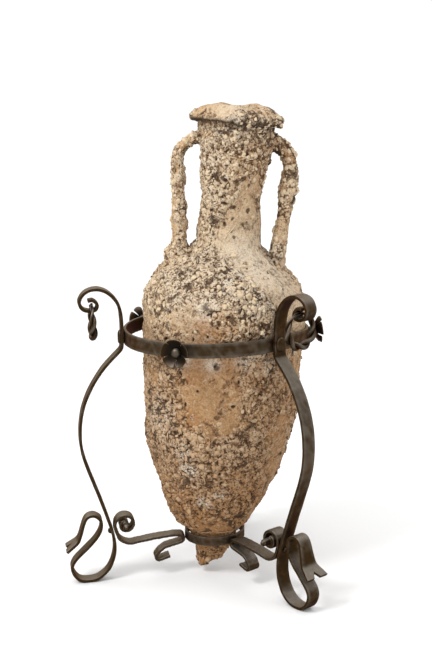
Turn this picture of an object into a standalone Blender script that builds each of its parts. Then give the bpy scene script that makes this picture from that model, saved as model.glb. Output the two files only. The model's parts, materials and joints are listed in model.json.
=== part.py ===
"""A sea-crusted Roman amphora that rests in a wrought-iron tripod stand.

Units are metres and +Z is up. The side that the camera sees faces -Y. Every piece of the stand is laid out round
one upright axis and is then racked a little to +X, because the vessel leans on the hoop on that side.
"""
from math import atan, atan2, cos, degrees, exp, pi, radians, sin, sqrt

import bmesh
import bpy
from mathutils import Matrix, Vector, noise

COLLECTION = "roman_amphora"

# Gap that touching pieces keep, and how far the stand has racked to +X for each metre of height
CLEARANCE = 0.0003
RACK = 0.0388

# Vessel: heights are measured along its own axis from the seat in the lower ring
VESSEL_HEIGHT = 0.926
TOE_LENGTH = 0.062
TOE_RADIUS = 0.027
TOE_BREAK_SLOPE = 0.5
BREAK_RIDGE = 0.004
BREAK_SCALE = 0.011
SEAT_RADIUS = 0.0525
BODY_RADIUS = 0.173
NECK_RADIUS = 0.0625
RIM_RADIUS = 0.0955
RIM_HEIGHT = 0.031
RIM_DROP = 0.003
MOUTH_RADIUS = 0.052
WALL = 0.014
FLOOR_THICKNESS = 0.045
CRUST_RELIEF = 0.0060
CRUST_SCALE = 0.055
BARE_BAND = 0.042
SEAT_BAND = 0.020
SEAT_BLEND = 0.030
TOE_CRUST = 0.5
HANDLE_CRUST = 0.7
# Thick mounds of crust: azimuth from the vessel's +X, share of its height, spread and depth
CRUST_MOUNDS = ((178.0, 0.640, 0.034, 0.012), (150.0, 0.600, 0.050, 0.006), (262.0, 0.560, 0.055, 0.007),
                (292.0, 0.590, 0.035, 0.006), (215.0, 0.110, 0.050, 0.005), (330.0, 0.300, 0.060, 0.005),
                (75.0, 0.540, 0.060, 0.008), (20.0, 0.180, 0.050, 0.006), (110.0, 0.300, 0.060, 0.007))
LEAN_ROOM = 0.0020

# Handles, in the plane of the vessel's axis; the foot is a share of its height
HANDLE_REACH = 0.1165
HANDLE_DROP = 0.039
HANDLE_FOOT = 0.6385
HANDLE_THICKNESS = 0.035
HANDLE_DEPTH = 0.042

# Flat bar of the hoop, the legs and the struts
BAR_WIDTH = 0.030
BAR_THICKNESS = 0.007
HOOP_THICKNESS = 0.006

# Hoop round the belly
HOOP_RADIUS = 0.1975
HOOP_HEIGHT = 0.540
HOOP_SAG = 0.012
SAG_AZIMUTH = 8.0
SAG_SPAN = 58.0

# Small ring under the taper
LOWER_RING_HEIGHT = 0.088
LOWER_RING_WIDTH = 0.020
LOWER_RING_THICKNESS = 0.005
SEAT_ROOM = 0.009
SEAT_HEIGHT = 0.090
SEAT_SHIFT = -0.007

# Legs: azimuths run from +X towards +Y
LEG_AZIMUTHS = {"left": 189.0, "right": 309.0, "back": 78.0}
JOINT_HEIGHT = 0.106
JOINT_RADIUS = 0.2235
BULGE_RADIUS = 0.2940
SCROLL_RISE = 0.1065
SCROLL_REACH = 0.0900
EYE_WIDTH = 0.020
EYE_TAPER = 0.110
FOOT_REACH = 0.3150
TAIL_OVERHANG = 0.011
TAIL_HEIGHT = 0.0775
TAIL_SLOPE = 0.7
TAIL_SPREAD = 0.056
TAIL_LENGTH = 0.060
TAIL_CUT = 0.024
TAIL_GAP = 0.017

# Knot at a strut's leg end, its core, and the hook at the other end
KNOT_RADIUS = 0.0240
KNOT_TURNS = 1.3
KNOT_PITCH = 0.0125
KNOT_LIFT = -0.003
KNOT_WIDTH = 0.034
KNOT_TAPER = 0.180
CORE_RADIUS = 0.0080
CORE_STICKOUT = 0.022
STRUT_CONTACT = 0.016
STRUT_SAG = 0.0245
FOLD_RISE = 0.017
HOOK_DROP = 0.048
HOOK_REACH = 0.1315

# Rosettes and the parts on the legs
ROSETTE_AZIMUTHS = {"front": 248.0, "right": 8.0, "back": 140.0}
ROSETTE_RADIUS = 0.0275
ROSETTE_DEPTH = 0.015
ROSETTE_STEM = 0.016
ROSETTE_STEM_RADIUS = 0.007
ROSETTE_SHEET = 0.0022
ROSETTE_PETALS = 5
BOSS_RADIUS = 0.0105
BOSS_HEIGHT = 0.0110
PLATE_WIDTH = 0.024
PLATE_HEIGHT = 0.032
PLATE_THICKNESS = 0.005
RIVET_RADIUS = 0.007
RIVET_HEIGHT = 0.005
DOME_BACK = 0.0004

# Twisted rings that hang in the scroll eyes
RING_RADIUS = 0.035
RING_THIN = 0.0042
RING_THICK = 0.0095
RING_TWISTS = 3.5
RING_GAP = 0.0012
EYE_ROOM = 0.003

# Facets: a bar's path turns by at most this many degrees at a step, or goes on for this far
VESSEL_STEPS = 36
BORE_STEPS = 18
HOOP_STEPS = 46
LOWER_RING_STEPS = 26
SMALL_STEPS = 8
PLATE_STEPS = 14
PETAL_STEPS = 4
RING_SECTIONS = 26
RING_SIDES = 6
KNOT_STEPS = 14
FOLD_STEPS = 5
STEP_TURN = 15.0
STEP_LENGTH = 0.045

IRON = (0.045, 0.038, 0.032)
CLAY = (0.52, 0.38, 0.25)


def clear_scene():
    for item in list(bpy.data.objects):
        bpy.data.objects.remove(item, do_unlink=True)


def new_collection(name):
    group = bpy.data.collections.new(name)
    bpy.context.scene.collection.children.link(group)
    return group


def material(name, colour, roughness, metallic):
    made = bpy.data.materials.new(name)
    made.use_nodes = True
    shader = made.node_tree.nodes["Principled BSDF"]
    shader.inputs["Base Color"].default_value = (*colour, 1)
    shader.inputs["Roughness"].default_value = roughness
    shader.inputs["Metallic"].default_value = metallic
    return made


def add_object(name, mesh, group, look=None):
    item = bpy.data.objects.new(name, mesh)
    group.objects.link(item)
    if look:
        mesh.materials.append(look)
    return item


def smooth_path(points, step):
    """Points about a step apart on a Catmull-Rom curve through the given ones."""
    ends = [points[0] * 2 - points[1], *points, points[-1] * 2 - points[-2]]
    path = []
    for before, start, end, after in zip(ends, ends[1:], ends[2:], ends[3:]):
        count = max(1, round((end - start).length / step))
        for i in range(count):
            t = i / count
            path.append(0.5 * (2 * start + (end - before) * t
                               + (2 * before - 5 * start + 4 * end - after) * t * t
                               + (3 * start - before - 3 * end + after) * t ** 3))
    return path + [points[-1]]


def thinned(path):
    """Keeps the points of a fine path where it has turned by a step's angle or gone on for a step's length."""
    kept = [path[0]]
    heading = path[1] - path[0]
    for here, ahead in zip(path[1:], path[2:]):
        turn = degrees(abs(heading.angle_signed(ahead - here)))
        if turn > STEP_TURN or (here - kept[-1]).length > STEP_LENGTH:
            kept.append(here)
            heading = ahead - here
    return kept + [path[-1]]


def turned(name, profile, steps, group, look=None):
    """Solid of revolution about Z from (radius, height) points that run down the outer side."""
    mesh = bpy.data.meshes.new(name)
    points = [(radius, 0, height) for radius, height in profile]
    mesh.from_pydata(points, [(i, i + 1) for i in range(len(points) - 1)], [])
    item = add_object(name, mesh, group, look)
    screw = item.modifiers.new("turn", "SCREW")
    screw.steps = screw.render_steps = steps
    screw.use_merge_vertices = True
    screw.merge_threshold = 0.00002
    return item


def applied(item):
    """Replaces an object's data by its evaluated mesh, welded, and drops the modifiers."""
    graph = bpy.context.evaluated_depsgraph_get()
    graph.update()
    mesh = bpy.data.meshes.new_from_object(item.evaluated_get(graph))
    work = bmesh.new()
    work.from_mesh(mesh)
    bmesh.ops.remove_doubles(work, verts=work.verts, dist=0.00002)
    work.to_mesh(mesh)
    work.free()
    item.modifiers.clear()
    item.data = mesh
    return item


def join(item, other, operation, cutters):
    """Adds a Boolean to an object and puts the other one away with the cutters."""
    boolean = item.modifiers.new(other.name, "BOOLEAN")
    boolean.operation = operation
    boolean.solver = "EXACT"
    boolean.object = other
    for group in list(other.users_collection):
        group.objects.unlink(other)
    cutters.objects.link(other)
    other.hide_render = True
    other.display_type = "WIRE"


def rack_matrix():
    """Shear that moves a point to +X by its height."""
    shear = Matrix.Identity(4)
    shear[0][2] = RACK
    return shear


def leg_plane(azimuth):
    """Matrix from (radial, tangential, height) at an azimuth to the racked stand."""
    return rack_matrix() @ Matrix.Rotation(radians(azimuth), 4, "Z")


# The vessel

def vessel_outline():
    """(height above the seat, radius) points of the outside, from the toe's break up to the lip."""
    body = [(0.0323, 0.454), (0.0647, 0.552), (0.108, 0.656), (0.162, 0.757), (0.226, 0.853), (0.3125, 0.934),
            (0.388, 0.968), (0.463, 0.986), (0.528, 1.0), (0.571, 0.965), (0.599, 0.893), (0.625, 0.777),
            (0.6465, 0.624), (0.668, 0.480)]
    neck = [(0.690, 1.104), (0.733, 1.0), (0.787, 1.01), (0.851, 1.10), (0.916, 1.20)]
    rim_foot = VESSEL_HEIGHT - RIM_HEIGHT
    points = [(-TOE_LENGTH, TOE_RADIUS), (-0.035, 0.035), (-0.010, 0.047), (0.008, SEAT_RADIUS)]
    points += [(h * VESSEL_HEIGHT, r * BODY_RADIUS) for h, r in body]
    points += [(h * VESSEL_HEIGHT, r * NECK_RADIUS) for h, r in neck]
    points += [(rim_foot - RIM_DROP, 0.80 * RIM_RADIUS), (rim_foot - RIM_DROP / 2, 0.97 * RIM_RADIUS)]
    points += [(rim_foot + 2 * RIM_DROP, RIM_RADIUS), (VESSEL_HEIGHT - 0.018, 0.915 * RIM_RADIUS)]
    points += [(VESSEL_HEIGHT - 0.006, 0.82 * RIM_RADIUS), (VESSEL_HEIGHT, 0.69 * RIM_RADIUS)]
    return points


def radius_at(height, outline):
    """Outside radius at a height, read straight between the outline's points."""
    for (low, start), (high, end) in zip(outline, outline[1:]):
        if low <= height <= high:
            return start + (end - start) * (height - low) / (high - low)
    return outline[-1][1]


def bore_profile(outline):
    """Hollow's (radius, height) points from above the mouth down to its round floor."""
    top = VESSEL_HEIGHT + 0.02
    profile = [(0, top), (MOUTH_RADIUS, top), (MOUTH_RADIUS, VESSEL_HEIGHT - RIM_HEIGHT)]
    inside = [(h, r) for h, r in outline if FLOOR_THICKNESS + 0.01 < h < VESSEL_HEIGHT - RIM_HEIGHT - 0.02]
    for height, radius in reversed(inside):
        profile.append((radius - WALL, height))
    bottom = profile[-1][0]
    profile += [(0.75 * bottom, FLOOR_THICKNESS + 0.004), (0.4 * bottom, FLOOR_THICKNESS), (0, FLOOR_THICKNESS)]
    return profile


def hoop_station():
    """Height along the vessel's axis at which the hoop goes round it."""
    return HOOP_HEIGHT - SEAT_HEIGHT


def crust_mounds(outline):
    """(middle, spread, depth) of each thick mound of crust on the vessel's outside."""
    mounds = []
    for azimuth, share, spread, depth in CRUST_MOUNDS:
        height = share * VESSEL_HEIGHT
        radius = radius_at(height, outline)
        middle = Vector((radius * cos(radians(azimuth)), radius * sin(radians(azimuth)), height))
        mounds.append((middle, spread, depth))
    return mounds


def crust_freedom(height):
    """Share of the crust's relief at a height on the vessel: next to none where the two rings hold it."""
    if height < -SEAT_BAND:
        return TOE_CRUST
    at_hoop = abs(height - hoop_station()) / BARE_BAND - 0.6
    at_seat = (height - SEAT_BAND) / SEAT_BLEND
    return min(1, max(0, at_hoop)) * min(1, max(0, at_seat))


def crust_depth(point, mounds):
    """How far the crust stands out at a point of the vessel."""
    depth = CRUST_RELIEF * noise.fractal(point / CRUST_SCALE, 0.7, 2.1, 3)
    for middle, spread, height in mounds:
        depth += height * exp(-((point - middle).length / spread) ** 2)
    return depth * crust_freedom(point.z)


def roughen(item, mounds, strength):
    """Moves the points of a closed surface along their normals by a share of the crust's depth."""
    work = bmesh.new()
    work.from_mesh(item.data)
    work.normal_update()
    moved = [(vert, vert.co + vert.normal * crust_depth(vert.co, mounds) * strength) for vert in work.verts]
    for vert, place in moved:
        vert.co = place
    work.to_mesh(item.data)
    work.free()


def break_toe(item):
    """Tilts the broken end of the toe, so that it is lower on the -X side."""
    for vert in item.data.vertices:
        if vert.co.z < -TOE_LENGTH + 0.001:
            ridge = BREAK_RIDGE * noise.noise(vert.co / BREAK_SCALE)
            vert.co.z += TOE_BREAK_SLOPE * vert.co.x + ridge


def handle(side, group):
    """One strap handle from under the rim, out and down to the shoulder, as a tube of oval section."""
    top = VESSEL_HEIGHT - HANDLE_DROP
    drop = top - HANDLE_FOOT * VESSEL_HEIGHT
    line = [(0.50, 0.122), (0.69, 0.118), (0.86, 0.145), (0.97, 0.193), (1.0, 0.277), (0.98, 0.406),
            (0.945, 0.575), (0.915, 0.744), (0.895, 0.865), (0.90, 1.0), (0.90, 1.074)]
    path = smooth_path([Vector((side * HANDLE_REACH * u, 0, top - drop * v)) for u, v in line], 0.018)
    curve = bpy.data.curves.new("handle", "CURVE")
    curve.dimensions = "3D"
    spline = curve.splines.new("POLY")
    spline.points.add(len(path) - 1)
    for point, place in zip(spline.points, path):
        point.co = (*place, 1)
    curve.bevel_depth = HANDLE_THICKNESS / 2
    curve.bevel_resolution = 3
    curve.use_fill_caps = True
    item = add_object("handle", curve, group)
    graph = bpy.context.evaluated_depsgraph_get()
    graph.update()
    mesh = bpy.data.meshes.new_from_object(item.evaluated_get(graph))
    bpy.data.objects.remove(item, do_unlink=True)
    tube = applied(add_object("handle", mesh, group))
    tube.data.transform(Matrix.Diagonal((1, HANDLE_DEPTH / HANDLE_THICKNESS, 1, 1)))
    return tube


def vessel_matrix(outline):
    """Places the vessel on the lower ring, leaning until its belly meets the hoop on the +X side."""
    band = [hoop_station() + share * BAR_WIDTH for share in (-1, -0.5, 0, 0.5, 1)]
    belly = max(radius_at(height, outline) for height in band)
    reach = HOOP_RADIUS - HOOP_THICKNESS - belly - LEAN_ROOM
    lean = atan((reach - SEAT_SHIFT) / hoop_station() + RACK)
    foot = Vector((SEAT_SHIFT + RACK * SEAT_HEIGHT, 0, SEAT_HEIGHT))
    return Matrix.Translation(foot) @ Matrix.Rotation(lean, 4, "Y")


def build_amphora(group, cutters, look):
    outline = vessel_outline()
    profile = [(0, VESSEL_HEIGHT)] + [(r, h) for h, r in reversed(outline)] + [(0, -TOE_LENGTH)]
    vessel = applied(turned("amphora", profile, VESSEL_STEPS, group, look))
    break_toe(vessel)
    mounds = crust_mounds(outline)
    roughen(vessel, mounds, 1.0)
    for side in (-1, 1):
        strap = handle(side, group)
        roughen(strap, mounds, HANDLE_CRUST)
        join(vessel, strap, "UNION", cutters)
    bore = applied(turned("bore", bore_profile(outline), BORE_STEPS, group))
    join(vessel, bore, "DIFFERENCE", cutters)
    applied(vessel)
    vessel.data.transform(vessel_matrix(outline))
    return vessel


# The stand

def hoop_sag(azimuth):
    """How far the hoop has sunk at an azimuth, between the right leg and the back one."""
    away = abs((azimuth - SAG_AZIMUTH + 180) % 360 - 180)
    return HOOP_SAG * cos(0.5 * pi * away / SAG_SPAN) ** 2 if away < SAG_SPAN else 0.0


def build_hoop(name, radius, thickness, height, width, steps, group, look):
    """Flat bar bent to a ring, with its outside at the radius, before the stand racked."""
    low, high = height - width / 2, height + width / 2
    inner = radius - thickness
    profile = [(inner, high), (radius, high), (radius, low), (inner, low), (inner, high)]
    return applied(turned(name, profile, steps, group, look))


def build_upper_ring(group, look):
    """Hoop round the belly, sunk on one side."""
    ring = build_hoop("upper_ring", HOOP_RADIUS, HOOP_THICKNESS, HOOP_HEIGHT, BAR_WIDTH, HOOP_STEPS, group, look)
    for vert in ring.data.vertices:
        vert.co.z -= hoop_sag(degrees(atan2(vert.co.y, vert.co.x)))
    ring.data.transform(rack_matrix())


def build_lower_ring(group, look):
    ring = build_hoop("lower_ring", lower_ring_radius(), LOWER_RING_THICKNESS, LOWER_RING_HEIGHT,
                      LOWER_RING_WIDTH, LOWER_RING_STEPS, group, look)
    ring.data.transform(rack_matrix())


def leg_points():
    """(radius, height) points of a leg's middle line, from the scroll's tip down and out to the tail."""
    waist = HOOP_RADIUS + CLEARANCE + BAR_THICKNESS / 2
    rise = SCROLL_RISE
    scroll = [(0.79, 0.765), (0.67, 0.775), (0.565, 0.675), (0.62, 0.575), (0.79, 0.568), (0.935, 0.63),
              (0.985, 0.78), (0.85, 0.945), (0.60, 1.0), (0.345, 0.93), (0.145, 0.765), (0.035, 0.565), (0.0, 0.33),
              (0.0, 0.0), (0.0, -0.17), (0.055, -0.27)]
    drop = HOOP_HEIGHT - JOINT_HEIGHT
    out = BULGE_RADIUS - JOINT_RADIUS
    run = [(0.856, 0.27), (0.791, 0.53), (0.712, 0.80), (0.62, 0.955), (0.51, 1.0), (0.415, 0.92), (0.29, 0.63),
           (0.185, 0.39), (0.085, 0.19), (0.0, 0.0)]
    loop = FOOT_REACH - JOINT_RADIUS
    foot = [(-0.035, 0.79), (-0.03, 0.60), (0.03, 0.40), (0.16, 0.20), (0.36, 0.06), (0.56, -0.005), (0.76, 0.03),
            (0.93, 0.16), (1.0, 0.35), (0.90, 0.53), (0.67, 0.70), (0.465, 0.87), (0.33, 1.04), (0.285, 1.20),
            (0.325, 1.345), (0.455, 1.425), (0.605, 1.41), (0.705, 1.30), (0.735, 1.15), (0.77, 1.01)]
    points = [Vector((waist + SCROLL_REACH * u, HOOP_HEIGHT + rise * v)) for u, v in scroll]
    points += [Vector((JOINT_RADIUS + out * u, JOINT_HEIGHT + drop * v)) for v, u in run]
    points += [Vector((JOINT_RADIUS + loop * u, JOINT_HEIGHT * v)) for u, v in foot]
    tip = FOOT_REACH + TAIL_OVERHANG
    points += [Vector((tip - TAIL_CUT, TAIL_HEIGHT + TAIL_SLOPE * TAIL_CUT)), Vector((tip, TAIL_HEIGHT))]
    return points


def leg_path():
    """The leg's middle line as short steps, flattened where it stands on the ground."""
    points = leg_points()
    tail_start, tip = points[-2:]
    path = thinned(smooth_path(points[:-1], 0.003)) + [(tail_start + tip) / 2, tip]
    return [Vector((point.x, max(point.y, BAR_THICKNESS / 2))) for point in path]


def ribbon(name, path, widths, thickness, group, look, split_from=None, split=0.0):
    """Flat bar that follows a (radius, height) path; past split_from its two halves part by the split."""
    work = bmesh.new()
    rows = []
    for i, (point, width) in enumerate(zip(path, widths)):
        sides = [-width / 2, width / 2]
        if split_from is not None and i >= split_from:
            part = split * (i - split_from) / (len(path) - 1 - split_from)
            sides = [-width / 2, -part / 2, part / 2, width / 2] if i > split_from else [-width / 2, 0, width / 2]
        rows.append([work.verts.new((point.x, side, point.y)) for side in sides])
    for near, far in zip(rows, rows[1:]):
        if len(near) == 3:
            work.faces.new((near[0], near[1], far[1], far[0]))
            work.faces.new((near[1], near[2], far[3], far[2]))
        elif len(near) == 4:
            work.faces.new((near[0], near[1], far[1], far[0]))
            work.faces.new((near[2], near[3], far[3], far[2]))
        elif len(far) == 3:
            work.faces.new((near[0], near[1], far[2], far[1], far[0]))
        else:
            work.faces.new((near[0], near[1], far[1], far[0]))
    mesh = bpy.data.meshes.new(name)
    work.to_mesh(mesh)
    work.free()
    item = add_object(name, mesh, group, look)
    solid = item.modifiers.new("thickness", "SOLIDIFY")
    solid.thickness = thickness
    solid.offset = 0
    solid.use_even_offset = True
    return applied(item)


def lengths_along(path):
    """Length of the path from its start to each of its points."""
    lengths = [0.0]
    for near, far in zip(path, path[1:]):
        lengths.append(lengths[-1] + (far - near).length)
    return lengths


def build_leg(name, azimuth, group, look):
    path = leg_path()
    lengths = lengths_along(path)
    widths = []
    for length in lengths:
        eye = max(0, 1 - length / EYE_TAPER)
        tail = max(0, 1 - (lengths[-1] - length) / TAIL_LENGTH)
        widths.append(BAR_WIDTH + (EYE_WIDTH - BAR_WIDTH) * eye + (TAIL_SPREAD - BAR_WIDTH) * tail ** 1.3)
    parting = sum(length < lengths[-1] - TAIL_CUT - 0.001 for length in lengths)
    leg = ribbon(name, path, widths, BAR_THICKNESS, group, look, split_from=parting, split=TAIL_GAP)
    leg.data.transform(leg_plane(azimuth))
    return leg


def joint_frame():
    """Leg's middle point at the strut joint, its upward direction there and its inward normal."""
    path = leg_path()
    wanted = Vector((JOINT_RADIUS, JOINT_HEIGHT))
    upper, lower = min(zip(path, path[1:]), key=lambda pair: ((pair[0] + pair[1]) / 2 - wanted).length)
    along = (upper - lower).normalized()
    return (upper + lower) / 2, along, Vector((-along.y, along.x))


def strut_points():
    """(radius, height) points of a strut: knot, stretch along the leg, run to the ring, fold and hook."""
    joint, along, inward = joint_frame()
    touch = joint + inward * (BAR_THICKNESS + 2 * CLEARANCE)
    top = touch + along * STRUT_CONTACT / 2
    bottom = touch - along * STRUT_CONTACT / 2
    centre = top + inward * KNOT_RADIUS + along * KNOT_LIFT
    start = (top + along * KNOT_LIFT - centre).angle_signed(Vector((1, 0)))
    spiral = []
    for i in range(KNOT_STEPS + 1):
        share = 1 - i / KNOT_STEPS
        angle = start + share * KNOT_TURNS * 2 * pi
        reach = KNOT_RADIUS - KNOT_PITCH * share * KNOT_TURNS
        spiral.append(centre + Vector((cos(angle), sin(angle))) * reach)
    nose = lower_ring_radius() + CLEARANCE + BAR_THICKNESS / 2
    level = LOWER_RING_HEIGHT - 0.006
    bend = FOLD_RISE / 2
    angles = [pi * i / FOLD_STEPS for i in range(FOLD_STEPS + 1)]
    fold = [Vector((nose + bend - bend * sin(angle), level + bend * cos(angle))) for angle in angles]
    low = level - bend
    run = bottom.x - nose
    tip = LOWER_RING_HEIGHT - HOOK_DROP
    points = [touch, bottom]
    sagging = [(0.94, 0.65), (0.80, 1.0), (0.60, 0.78)]
    points += [Vector((nose + run * share, bottom.y - sag * STRUT_SAG)) for share, sag in sagging]
    points += [Vector((nose + run * 0.38, level + bend - 0.002)), Vector((nose + run * 0.20, level + bend + 0.001))]
    points += fold
    points += [Vector((nose + run * 0.22, low - 0.004)), Vector((nose + run * 0.33, low - 0.012)),
               Vector((HOOK_REACH - 0.003, low - 0.022)), Vector((HOOK_REACH, low - 0.031)),
               Vector((HOOK_REACH - 0.006, tip - 0.003)), Vector((HOOK_REACH - 0.018, tip)),
               Vector((HOOK_REACH - 0.031, tip + 0.004))]
    return spiral, points, centre


def build_strut(name, azimuth, side, group, cutters, look):
    """One bar with its rolled knot; the core sticks out on the given side of the bar."""
    spiral, points, centre = strut_points()
    path = thinned(smooth_path(spiral + points, 0.003))
    widths = [BAR_WIDTH + (KNOT_WIDTH - BAR_WIDTH) * max(0, 1 - length / KNOT_TAPER)
              for length in lengths_along(path)]
    strut = ribbon(name, path, widths, BAR_THICKNESS, group, look)
    length = KNOT_WIDTH + CORE_STICKOUT
    core_profile = [(0, length / 2), (0.55 * CORE_RADIUS, length / 2), (0.6 * CORE_RADIUS, length / 2 - 0.004),
                    (CORE_RADIUS, length / 2 - 0.005), (CORE_RADIUS, -length / 2), (0, -length / 2)]
    core = applied(turned("core_" + name, core_profile, SMALL_STEPS, group))
    spot = Vector((centre.x, side * CORE_STICKOUT / 2, centre.y))
    core.data.transform(Matrix.Translation(spot) @ Matrix.Rotation(-side * pi / 2, 4, "X"))
    join(strut, core, "UNION", cutters)
    applied(strut)
    strut.data.transform(leg_plane(azimuth))
    return strut


def lower_ring_radius():
    """Outside radius of the small ring, which takes the vessel's taper at the seat."""
    return SEAT_RADIUS + SEAT_ROOM + LOWER_RING_THICKNESS


def outward_frame(azimuth, radius, height):
    """Matrix that stands a turned piece on the stand, its +Z pointing outward."""
    return leg_plane(azimuth) @ Matrix.Translation((radius, 0, height)) @ Matrix.Rotation(pi / 2, 4, "Y")


def build_rosette(name, azimuth, group, cutters, look):
    """Cupped iron flower of overlapping petals on a short stem."""
    segments = PETAL_STEPS * ROSETTE_PETALS
    rings = ((0.0, 0.0), (0.41, 0.0), (0.76, 0.34), (1.0, 1.0))
    work = bmesh.new()
    middle = work.verts.new((0, 0, 0))
    rows = []
    for share, rise in rings[1:]:
        row = []
        for i in range(segments):
            step = (i % PETAL_STEPS) / PETAL_STEPS
            notch = 0.16 * (step == 0) + 0.04 * abs(step - 0.5)
            reach = ROSETTE_RADIUS * share * (1 - notch * share)
            lift = ROSETTE_DEPTH * rise * (1 - 0.22 * step * share)
            angle = 2 * pi * i / segments
            row.append(work.verts.new((reach * cos(angle), reach * sin(angle), lift)))
        rows.append(row)
    for i in range(segments):
        work.faces.new((middle, rows[0][i], rows[0][(i + 1) % segments]))
        for inner, outer in zip(rows, rows[1:]):
            work.faces.new((inner[i], outer[i], outer[(i + 1) % segments], inner[(i + 1) % segments]))
    mesh = bpy.data.meshes.new(name)
    work.to_mesh(mesh)
    work.free()
    rosette = add_object(name, mesh, group, look)
    sheet = rosette.modifiers.new("sheet", "SOLIDIFY")
    sheet.thickness = ROSETTE_SHEET
    sheet.offset = -1
    applied(rosette)
    stem_profile = [(0, -ROSETTE_SHEET / 2), (ROSETTE_STEM_RADIUS, -ROSETTE_SHEET / 2),
                    (ROSETTE_STEM_RADIUS, -ROSETTE_STEM), (0, -ROSETTE_STEM)]
    stem = applied(turned("stem_" + name, stem_profile, SMALL_STEPS, group))
    join(rosette, stem, "UNION", cutters)
    applied(rosette)
    radius = HOOP_RADIUS + 2 * CLEARANCE + ROSETTE_STEM
    rosette.data.transform(outward_frame(azimuth, radius, HOOP_HEIGHT - hoop_sag(azimuth)))
    return rosette


def dome_profile(radius, height):
    """Quarter round from the top of a dome down to its flat back."""
    arc = [(radius * sin(i * pi / 8), height * cos(i * pi / 8)) for i in range(5)]
    return arc + [(radius, -DOME_BACK), (0, -DOME_BACK)]


def build_boss(name, azimuth, group, look):
    boss = applied(turned(name, dome_profile(BOSS_RADIUS, BOSS_HEIGHT), SMALL_STEPS, group, look))
    radius = HOOP_RADIUS + 3 * CLEARANCE + ROSETTE_STEM + DOME_BACK
    boss.data.transform(outward_frame(azimuth, radius, HOOP_HEIGHT - hoop_sag(azimuth)))
    return boss


def build_joint_plate(name, azimuth, group, look):
    """Oval plate on the outer side of a leg where the hoop is fixed."""
    profile = [(0, PLATE_THICKNESS), (0.30, PLATE_THICKNESS), (0.42, 0.75 * PLATE_THICKNESS),
               (0.5, 0.3 * PLATE_THICKNESS), (0.5, 0), (0, 0)]
    plate = applied(turned(name, profile, PLATE_STEPS, group, look))
    plate.data.transform(Matrix.Diagonal((PLATE_HEIGHT, PLATE_WIDTH, 1, 1)))
    radius = HOOP_RADIUS + 2 * CLEARANCE + BAR_THICKNESS
    plate.data.transform(outward_frame(azimuth, radius, HOOP_HEIGHT))
    return plate


def build_rivet(name, azimuth, group, look):
    """Dome head on the outer side of a leg, square to the bar at the strut joint."""
    joint, along, inward = joint_frame()
    rivet = applied(turned(name, dome_profile(RIVET_RADIUS, RIVET_HEIGHT), SMALL_STEPS, group, look))
    spot = joint - inward * (BAR_THICKNESS / 2 + 2 * CLEARANCE + DOME_BACK)
    turn = Vector((-inward.x, 0, -inward.y)).to_track_quat("Z", "Y").to_matrix().to_4x4()
    rivet.data.transform(leg_plane(azimuth) @ Matrix.Translation((spot.x, 0, spot.y)) @ turn)
    return rivet


def eye_floor():
    """(radius, height) of the lowest middle point of the scroll's eye."""
    waist_reach = HOOP_RADIUS + SCROLL_REACH * 0.45
    eye = [point for point in leg_path()[:14] if point.x > waist_reach]
    return min(eye, key=lambda point: point.y)


def build_hanging_ring(name, azimuth, group, look):
    """Ring of two twisted strands, thin at the top where it hangs over the eye's floor."""
    floor = eye_floor()
    half = EYE_WIDTH / 2 + EYE_ROOM
    inner = RING_RADIUS - RING_THIN
    centre_height = floor.y + BAR_THICKNESS / 2 + RING_GAP - sqrt(inner ** 2 - half ** 2)
    sections, sides = RING_SECTIONS, RING_SIDES
    work = bmesh.new()
    rows = []
    for i in range(sections):
        angle = 2 * pi * i / sections
        low = 0.5 - 0.5 * cos(angle)
        size = RING_THIN + (RING_THICK - RING_THIN) * min(1, 1.5 * low)
        out = Vector((0, sin(angle), cos(angle)))
        across = Vector((1, 0, 0))
        row = []
        for k in range(sides):
            turn = 2 * pi * k / sides
            lobe = size * (1 - 0.28 * abs(sin(turn)) * min(1, 2 * low))
            twist = turn + 2 * pi * RING_TWISTS * i / sections
            offset = out * cos(twist) + across * sin(twist)
            row.append(work.verts.new(out * RING_RADIUS + offset * lobe))
        rows.append(row)
    shift = round(RING_TWISTS * sides)
    for i, near in enumerate(rows):
        far = rows[(i + 1) % sections]
        step = shift if i == sections - 1 else 0
        for k in range(sides):
            after = (k + 1) % sides
            work.faces.new((near[k], near[after], far[(after + step) % sides], far[(k + step) % sides]))
    bmesh.ops.recalc_face_normals(work, faces=work.faces)
    mesh = bpy.data.meshes.new(name)
    work.to_mesh(mesh)
    work.free()
    ring = add_object(name, mesh, group, look)
    ring.data.transform(leg_plane(azimuth) @ Matrix.Translation((floor.x, 0, centre_height)))
    return ring


def centre_on_origin(group):
    """Parents every piece to an empty that brings the middle of the whole to the origin."""
    corners = [item.matrix_world @ Vector(corner) for item in group.objects for corner in item.bound_box]
    low = Vector((min(c.x for c in corners), min(c.y for c in corners)))
    high = Vector((max(c.x for c in corners), max(c.y for c in corners)))
    middle = (low + high) / 2
    root = bpy.data.objects.new("stand_axis", None)
    group.objects.link(root)
    root.location = (-middle.x, -middle.y, 0)
    for item in group.objects:
        if item is not root:
            item.parent = root


def main():
    clear_scene()
    group = new_collection(COLLECTION)
    cutters = new_collection("cutters")
    clay = material("fired_clay", CLAY, 0.9, 0.0)
    iron = material("wrought_iron", IRON, 0.55, 0.8)
    build_amphora(group, cutters, clay)
    build_upper_ring(group, iron)
    build_lower_ring(group, iron)
    for side, azimuth in LEG_AZIMUTHS.items():
        build_leg("leg_" + side, azimuth, group, iron)
        build_strut("strut_" + side, azimuth, -1 if side == "right" else 1, group, cutters, iron)
        build_joint_plate("joint_plate_" + side, azimuth, group, iron)
        build_rivet("rivet_" + side, azimuth, group, iron)
        build_hanging_ring("hanging_ring_" + side, azimuth, group, iron)
    for side, azimuth in ROSETTE_AZIMUTHS.items():
        build_rosette("rosette_" + side, azimuth, group, cutters, iron)
        build_boss("boss_" + side, azimuth, group, iron)
    centre_on_origin(group)


main()
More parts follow.
